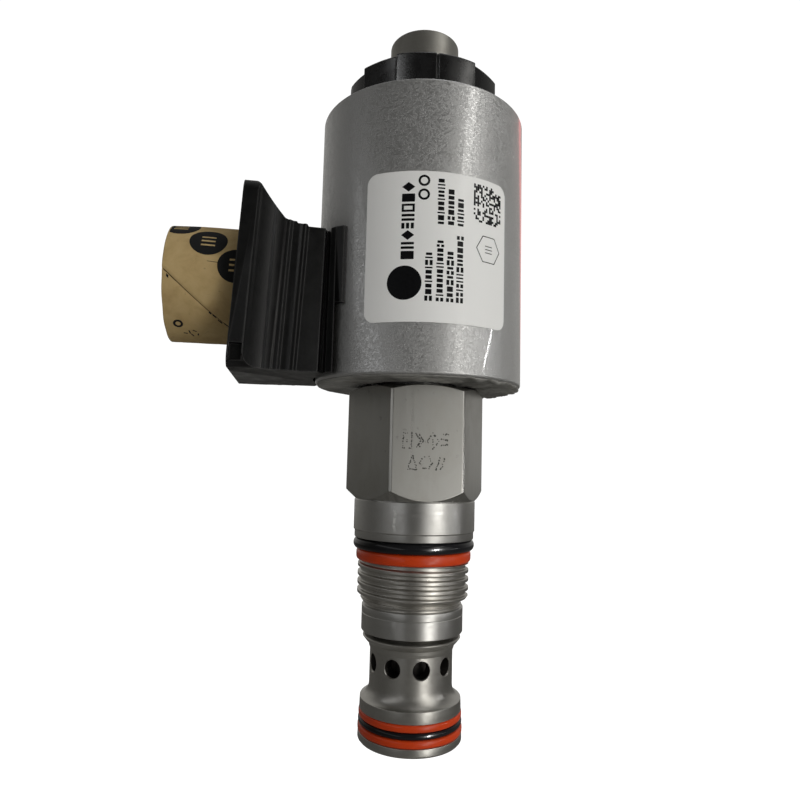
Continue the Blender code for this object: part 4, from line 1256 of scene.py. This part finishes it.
def cell_square():
    """A square of random cells, joined where they touch along Z."""
    rng = random.Random(23)
    left, right, z0, z1 = label_arc(27.0), label_arc(45.0), 86.9, 93.3
    count = 17
    gap = 0.02
    outlines = []
    for i in range(count):
        j = 0
        while j < count:
            run = 0
            while j + run < count and rng.random() < 0.52:
                run += 1
            if run:
                outlines.append(rect(left + (right - left) * i / count,
                                     left + (right - left) * (i + 1) / count - gap,
                                     z0 + (z1 - z0) * j / count,
                                     z0 + (z1 - z0) * (j + run) / count - gap))
            j += run + 1
    return outlines


def label_print():
    outlines = [circle(label_arc(-7.5), 75.9, 2.78, 40)]
    z = 79.7
    for kind in MARKS:
        outlines += mark_outlines(kind, label_arc(-6.3), z)
        z += MARK_STEP[kind]
    for z in (90.4, 92.7):
        outlines += ring_quads(label_arc(1.3), z, 0.58, 0.95, 16)
    rng = random.Random(11)
    for degrees, z0, z1 in DASH_LINES:
        outlines += dash_line(rng, degrees, z0, z1)
    outlines += cell_square()
    # an outlined hexagon round three thin bars
    arc, z = label_arc(36.5), 82.6
    outlines += ring_quads(arc, z, 2.38, 2.55, 6)
    for off in (-0.55, 0.0, 0.55):
        outlines.append(rect(arc - 0.75, arc + 0.75, z + off - 0.07, z + off + 0.07))
    parts = [label_sheet("ink", outline, bottom=0.085, upper=0.10, mat="ink", cell=1.1)
             for outline in outlines]
    return join_meshes("rating_label_ink", parts, "ink")


place(label_print(), "coil", "label_white")

# -------------------------------------------------------------- kraft sleeve
# x in this section is the distance out from the valve's axis, toward -X

GUARD_OUT = -BOXES["terminal_guard"][0][0]
GUARD_IN = -BOXES["terminal_guard"][1][0]
GUARD_R = 10.3
GUARD_COLUMNS = 288
SEAM_SLOPE = 5.0  # degrees the seam turns for each millimetre of x
SEAM_END_X = 43.79
SEAM_END_ANGLE = -0.5


def seam_angle(x):
    return SEAM_END_ANGLE - SEAM_SLOPE * (SEAM_END_X - x)


def guard_point(angle, x, r):
    """angle runs from the front (-Y) upward. The inner end follows the leaning flange."""
    a = math.radians(angle)
    z = r * math.sin(a)
    lean = LEAN * z * max(0.0, min(1.0, (GUARD_OUT - x) / (GUARD_OUT - GUARD_IN)))
    return -x + lean, -r * math.cos(a), TERMINAL_Z + z


def guard_r(angle, x):
    """Outer radius of the paper."""
    c, s = math.cos(math.radians(angle)), math.sin(math.radians(angle))
    past_seam = (angle - seam_angle(x) + 180.0) % 360.0 - 180.0
    r = GUARD_R - 0.09
    # the wound edge: a small step with a shallow dip before it
    if 0 <= past_seam < 60:
        r += 0.085 * math.exp(-past_seam / 25.0)
    if -3.6 < past_seam < 0:
        r -= 0.12 * (1 - abs(past_seam + 1.8) / 1.8)
    # the free end is pressed in a little at the top
    free = max(0.0, (x - 39.0) / (GUARD_OUT - 39.0))
    r -= 0.30 * free * max(0.0, s) ** 2
    r += 0.03 * noise.noise(Vector((c * 2.2, s * 2.2, x * 0.35)))
    r += 0.014 * noise.noise(Vector((c * 9.0, s * 9.0, x * 1.1)))
    return r


def ragged_x(angle, x):
    """The free end is slightly uneven."""
    a = math.radians(angle)
    wave = noise.noise(Vector((math.cos(a) * 3.0, math.sin(a) * 3.0, 4.0)))
    return min(x + 0.10 * wave, GUARD_OUT)


def paper_guard():
    angles = np.arange(GUARD_COLUMNS) * (360.0 / GUARD_COLUMNS)
    outside = [GUARD_IN, GUARD_IN + 0.05, *np.linspace(GUARD_IN + 0.3, GUARD_OUT - 0.35, 44),
               GUARD_OUT - 0.12, GUARD_OUT - 0.03, GUARD_OUT]
    inside = [GUARD_OUT, GUARD_OUT - 0.1, (GUARD_OUT + GUARD_IN) / 2, GUARD_IN + 0.1, GUARD_IN]
    last = len(outside) - 1
    # the outer radius is drawn in at both ends
    inset = {0: 0.09, 1: 0.025, last - 1: 0.025, last: 0.09}
    verts = []
    for i, x in enumerate(outside):
        for angle in angles:
            r = guard_r(angle, x) - inset.get(i, 0.0)
            verts.append(guard_point(angle, ragged_x(angle, x) if i >= last - 2 else x, r))
    for i, x in enumerate(inside):
        r = GUARD_R - (0.42 if 0 < i < 4 else 0.36)
        for angle in angles:
            verts.append(guard_point(angle, ragged_x(angle, x) if i < 2 else x, r))
    faces = grid_faces(len(outside) + len(inside), GUARD_COLUMNS)
    return new_object("paper_guard", verts, faces, "kraft")


place(paper_guard(), "guard", "kraft_paper", "terminal_guard")


def guard_patch(outline, mat="ink_kraft", bottom=-0.01, upper=0.018):
    """An outline in (x, arc) laid on the paper."""
    def bend(x, arc, is_top):
        angle = math.degrees(arc / GUARD_R)
        return guard_point(angle, x, guard_r(angle, x) + (upper if is_top else bottom))
    return thick_patch("patch", outline, mat, [(1, 0.45), (0, 0.8)], bend)


def guard_arc(degrees):
    return math.radians(degrees) * GUARD_R


def seam_arc(x, off):
    return guard_arc(seam_angle(x) + off)


PRINT_START, PRINT_END = GUARD_IN + 0.1, GUARD_OUT - 0.25
SPOT_R = 3.0
FIRST_SPOT = (37.4, 31.5)  # x and angle of the middle disc
SPOT_PITCH = (4.85, 25.2)  # x and degrees from one disc to the next
# short strokes: (x, degrees from the group's angle, length, tilt)
STROKES = ((-0.9, 2.0, 0.7, 30), (0.0, 0.0, 0.9, 80), (0.7, -2.0, 0.7, 10),
           (-0.4, -5.0, 0.8, 60), (-1.4, -3.5, 0.6, 100))
# dashes along the seam: (x start, x end, degrees from the seam, width)
SEAM_DASHES = ((34.3, 35.0, -3.4, 0.30), (35.3, 35.9, -2.6, 0.34), (36.1, 36.5, -3.0, 0.26),
               (33.0, 34.0, -2.2, 0.3), (43.0, 43.35, -5.5, 0.5))


def clipped_spot(cx, arc):
    """A disc held inside the paper's ends, without the points that fall together."""
    outline = []
    for x, s in circle(cx, arc, SPOT_R, 30):
        x = min(max(x, PRINT_START), PRINT_END)
        if not outline or abs(x - outline[-1][0]) + abs(s - outline[-1][1]) > 0.02:
            outline.append((x, s))
    return outline


def printed_spots():
    """Two spiral lines of discs, each with three bare bars. Returns discs and bars."""
    spots, bars = [], []
    for k in range(-2, 3):
        for line in (0, 1):
            cx = FIRST_SPOT[0] + SPOT_PITCH[0] * k
            arc = guard_arc(FIRST_SPOT[1] + SPOT_PITCH[1] * k + line * 180.0)
            outline = clipped_spot(cx, arc)
            if max(p[0] for p in outline) - min(p[0] for p in outline) < 0.4:
                continue
            spots.append(guard_patch(outline))
            x0, x1 = max(cx - 1.1, PRINT_START + 0.1), min(cx + 1.1, PRINT_END - 0.1)
            if x1 - x0 <= 0.5:
                continue
            for off in (-0.95, 0.0, 0.95):
                outline = rect(x0, x1, arc + off - 0.17, arc + off + 0.17)
                bars.append(guard_patch(outline, "kraft", bottom=0.0, upper=0.026))
    return spots, bars


def small_print():
    """A ring, a group of strokes, dashes along the seam and a thin dark strip painted as the shade
    of a crease.
    """
    outlines = ring_quads(41.74, guard_arc(-53.9), 0.45, 0.85, 14)
    for dx, degrees, length, tilt in STROKES:
        cx, arc = 40.0 + dx, guard_arc(-65.0 + degrees)
        c, s = math.cos(math.radians(tilt)), math.sin(math.radians(tilt))
        outlines.append([(cx + u * c - v * s, arc + u * s + v * c)
                         for u, v in rect(-length / 2, length / 2, -0.11, 0.11)])
    for x0, x1, off, width in SEAM_DASHES:
        start, end = seam_arc(x0, off), seam_arc(x1, off)
        outlines.append([(x0, start), (x1, end), (x1, end + width), (x0, start + width)])
    # painted shade of a crease: a thin dark strip
    outlines.append([(37.2, guard_arc(8.5)), (35.4, guard_arc(7.6)),
                     (35.4, guard_arc(7.6) + 0.10), (37.2, guard_arc(8.5) + 0.08)])
    return [guard_patch(outline) for outline in outlines]


def painted_seam_shadow():
    """A dark strip painted as the shadow in the dip beside the wound seam, uneven in width."""
    rng = random.Random(5)
    parts = []
    stations = np.linspace(PRINT_START, PRINT_END, 24)
    for x0, x1 in zip(stations[:-1], stations[1:]):
        width = rng.uniform(0.35, 0.75)
        outline = [(x0, seam_arc(x0, -1.3 - width)), (x1, seam_arc(x1, -1.3 - width)),
                   (x1, seam_arc(x1, -0.7)), (x0, seam_arc(x0, -0.7))]
        # each piece paints shadow into the dip before the seam's step
        parts.append(guard_patch(outline, "seam_shadow_brown", bottom=-0.02, upper=0.006))
    return parts


spots, bars = printed_spots()
for name, parts, mat in (("paper_guard_print", spots + small_print(), "ink_kraft"),
                         ("paper_guard_painted_shadow", painted_seam_shadow(), "seam_shadow_brown"),
                         ("paper_guard_print_gaps", bars, "kraft")):
    place(join_meshes(name, parts, mat), "guard", "kraft_paper")

# ------------------------------------------------------------ return spring

SPRING_LO, SPRING_HI = 2.3, 10.7
SPRING_R = 3.1
WIRE_R = 0.38
COILS = 5
STEPS_PER_COIL = 36
WIRE_SIDES = 14


def return_spring():
    steps = COILS * STEPS_PER_COIL
    verts = []
    for i in range(steps + 1):
        t = i / steps
        # closed ends: the first and last turns climb less than the free ones
        rise = t - 0.55 / (2 * math.pi) * math.sin(2 * math.pi * t)
        a = 2 * math.pi * COILS * t
        z = SPRING_LO + WIRE_R + (SPRING_HI - SPRING_LO - 2 * WIRE_R) * rise
        # the wire's ends are ground to a taper
        wire = WIRE_R * min(1.0, 0.55 + 7.0 * min(t, 1.0 - t))
        for k in range(WIRE_SIDES):
            b = 2 * math.pi * k / WIRE_SIDES
            r = SPRING_R + wire * math.cos(b)
            verts.append((r * math.cos(a), r * math.sin(a), z + wire * math.sin(b)))
    faces = grid_faces(steps + 1, WIRE_SIDES, capped=True)
    return new_object("return_spring_seen", verts, faces, "spring")


spring = return_spring()
place(spring, "nose", "spring_steel", "return_spring")
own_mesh(spring)

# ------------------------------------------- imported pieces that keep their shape

CARRIED = {
    "nose_retaining_wire": "spring", "pole_piece": "iron", "pole_o_ring": "black",
    "nonmagnetic_ring": "bronze", "plug_o_ring": "black", "override_o_ring": "black",
    "armature": "iron", "push_pin": "spool", "coil_bobbin": "bobbin", "coil_winding": "copper",
    "coil_flux_washer": "iron", "contact_blade_a": "tin", "contact_blade_b": "tin",
    "earth_blade": "tin", "terminal_insert": "brass",
}
for node, mat in CARRIED.items():
    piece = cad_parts[node]
    piece.data.materials.clear()
    piece.data.materials.append(MATS[mat])
    if "blade" in node or node == "terminal_insert":
        bevel_edges(piece, width=0.12, segments=2, angle=40)

# ---------------------------------------------------------- floor and world
# from here on lengths are in metres

FLOOR_HALF = 3.0
FLOOR_Z = -0.16


def floor_material():
    """Near white to the camera, a mid grey to the reflections."""
    mat = Finish("pale_floor")
    cloud = mat.noise(scale=30.0)
    is_camera = mat.add("ShaderNodeLightPath").outputs["Is Camera Ray"]
    seen = mat.mix(mat.remap(cloud, 0.3, 0.7), (0.86, 0.86, 0.855), (0.90, 0.90, 0.90))
    return mat.set(Base_Color=mat.mix(is_camera, (0.33, 0.326, 0.315), seen), Roughness=0.7,
                   Emission_Color=(1, 1, 1), Emission_Strength=mat.times(is_camera, 0.98))


floor_mesh = bpy.data.meshes.new("floor")
corners = rect(-FLOOR_HALF, FLOOR_HALF, -FLOOR_HALF, FLOOR_HALF)
floor_mesh.from_pydata([(x, y, FLOOR_Z) for x, y in corners], [], [(0, 1, 2, 3)])
floor_mesh.materials.append(floor_material())
add_object("floor", floor_mesh)


def build_world():
    """White to the camera; a warm glow for lighting that grows toward the far side."""
    world = bpy.data.worlds.new("studio")
    scene.world = world
    world.use_nodes = True
    world.node_tree.nodes.clear()
    nodes = Nodes(world.node_tree)
    a = math.radians(VIEW_AZIMUTH)
    direction = nodes.add("ShaderNodeTexCoord").outputs["Generated"]
    away = nodes.add("ShaderNodeVectorMath", {0: direction, 1: (-math.sin(a), math.cos(a), 0.12)},
                     operation="DOT_PRODUCT").outputs["Value"]
    # inputs 1 to 4: from min, from max, to min, to max
    glow = nodes.add("ShaderNodeMapRange", {0: away, 1: -0.1, 2: 0.95, 3: 0.10, 4: 0.44},
                     interpolation_type="SMOOTHSTEP").outputs[0]
    ambient = nodes.add("ShaderNodeBackground", {"Color": (1.0, 0.985, 0.94), "Strength": glow})
    seen = nodes.add("ShaderNodeBackground", {"Color": (1.0, 1.0, 1.0), "Strength": 1.05})
    is_camera = nodes.add("ShaderNodeLightPath").outputs["Is Camera Ray"]
    mixed = nodes.add("ShaderNodeMixShader",
                      {0: is_camera, 1: ambient.outputs[0], 2: seen.outputs[0]})
    nodes.add("ShaderNodeOutputWorld", {0: mixed.outputs[0]})


build_world()

# -------------------------------------------------------------------- lights

WHITE = (1.0, 1.0, 1.0)
WARM = (1.0, 0.985, 0.94)
COOL = (0.98, 0.99, 1.0)
PALE = (1.0, 0.99, 0.96)
RED = (1.0, 0.16, 0.16)
# some lights reach only these pieces
RECEIVERS = {
    "nut_only": ("lobed_coil_nut",),
    "label_only": ("rating_label_seen",),
    "coil_line_only": ("coil_can",),
    "coil_only": ("coil_can",),
    "wet_rings": ("body_o_ring_seen", "nose_o_ring_seen"),
}
# upright soft boxes facing the valve's axis: (name, azimuth from the camera's side, positive
# to its right, distance, z low, z high, width, power, colour, receivers)
STRIPS = (
    ("key_low", 41, 0.32, -0.14, 0.085, 0.045, 0.155, WARM, None),
    ("key_mid", 44, 0.32, 0.095, 0.165, 0.045, 0.028, WARM, None),
    ("key_high", 57, 0.32, 0.175, 0.42, 0.040, 0.16, WARM, None),
    ("key_surround", 47, 0.36, -0.12, 0.30, 0.25, 0.31, PALE, None),
    ("side_left", -47, 0.34, -0.12, 0.34, 0.08, 0.095, COOL, None),
    ("left_high", -38, 0.32, 0.25, 0.45, 0.05, 0.30, COOL, "nut_only"),
    ("label_fill", 22, 0.34, -0.02, 0.16, 0.18, 0.14, WHITE, "label_only"),
    ("line_right", 79, 0.34, -0.04, 0.090, 0.008, 0.04, WHITE, None),
    ("coil_line", 79, 0.34, 0.090, 0.165, 0.003, 0.042, WHITE, "coil_line_only"),
    ("red_card", 152, 0.32, 0.10, 0.36, 0.045, 0.055, RED, "coil_only"),
    # small glints on the oiled rings
    ("glint_0", 44, 0.30, 0.039, 0.051, 0.026, 0.9, WHITE, "wet_rings"),
    ("glint_1", 40, 0.30, -0.011, 0.001, 0.026, 0.9, WHITE, "wet_rings"),
)


def area_light(name, location, direction, up_axis, width, height, power, colour):
    light = bpy.data.lights.new(name, "AREA")
    light.shape = "RECTANGLE"
    light.size = width
    light.size_y = height
    light.energy = power
    light.color = colour
    obj = add_object(name, light)
    obj.location = location
    obj.rotation_euler = direction.to_track_quat("-Z", up_axis).to_euler()
    obj.visible_camera = False
    return obj


groups = {}
for group, names in RECEIVERS.items():
    groups[group] = bpy.data.collections.new(group)
    for name in names:
        groups[group].objects.link(scene.objects[name])

for name, azimuth, distance, z0, z1, width, power, colour, receivers in STRIPS:
    a = math.radians(azimuth + VIEW_AZIMUTH)
    strip = area_light(name, (distance * math.sin(a), -distance * math.cos(a), (z0 + z1) / 2),
                       Vector((-math.sin(a), math.cos(a), 0)), "Z", width, z1 - z0, power, colour)
    if receivers:
        strip.light_linking.receiver_collection = groups[receivers]

TOP_LIGHT = Vector((0.1, -0.05, 0.55))
TOP_AIM = Vector((0, 0, 0.06))
area_light("top", TOP_LIGHT, TOP_AIM - TOP_LIGHT, "Y", width=0.25, height=0.25, power=0.30,
           colour=WHITE)

# -------------------------------------------------------------------- camera

CAMERA_DISTANCE = 0.11805
CAMERA_Z = 0.04724
CAMERA_YAW = 1.5  # turned from the direction of the axis
CAMERA_PITCH = 5.744
CAMERA_ROLL = -1.459

camera_data = bpy.data.cameras.new("camera")
camera = add_object("camera", camera_data)
camera_data.sensor_fit = "HORIZONTAL"
camera_data.sensor_width = 36.0
camera_data.lens = 28.9773
camera_data.clip_start = 0.005
camera_data.clip_end = 20.0
aim = turn(VIEW_AZIMUTH + CAMERA_YAW, "Z") @ turn(CAMERA_PITCH, "X") @ turn(CAMERA_ROLL, "Y")
right, forward, up = (aim.col[i].xyz for i in range(3))
a = math.radians(VIEW_AZIMUTH)
position = (CAMERA_DISTANCE * math.sin(a), -CAMERA_DISTANCE * math.cos(a), CAMERA_Z)
axes = Matrix((right, up, -forward)).transposed().to_4x4()
camera.matrix_world = Matrix.Translation(position) @ axes
scene.camera = camera
scene.view_settings.view_transform = "Standard"
scene.view_settings.look = "None"
scene.view_settings.exposure = 0.0
scene.view_settings.gamma = 1.0
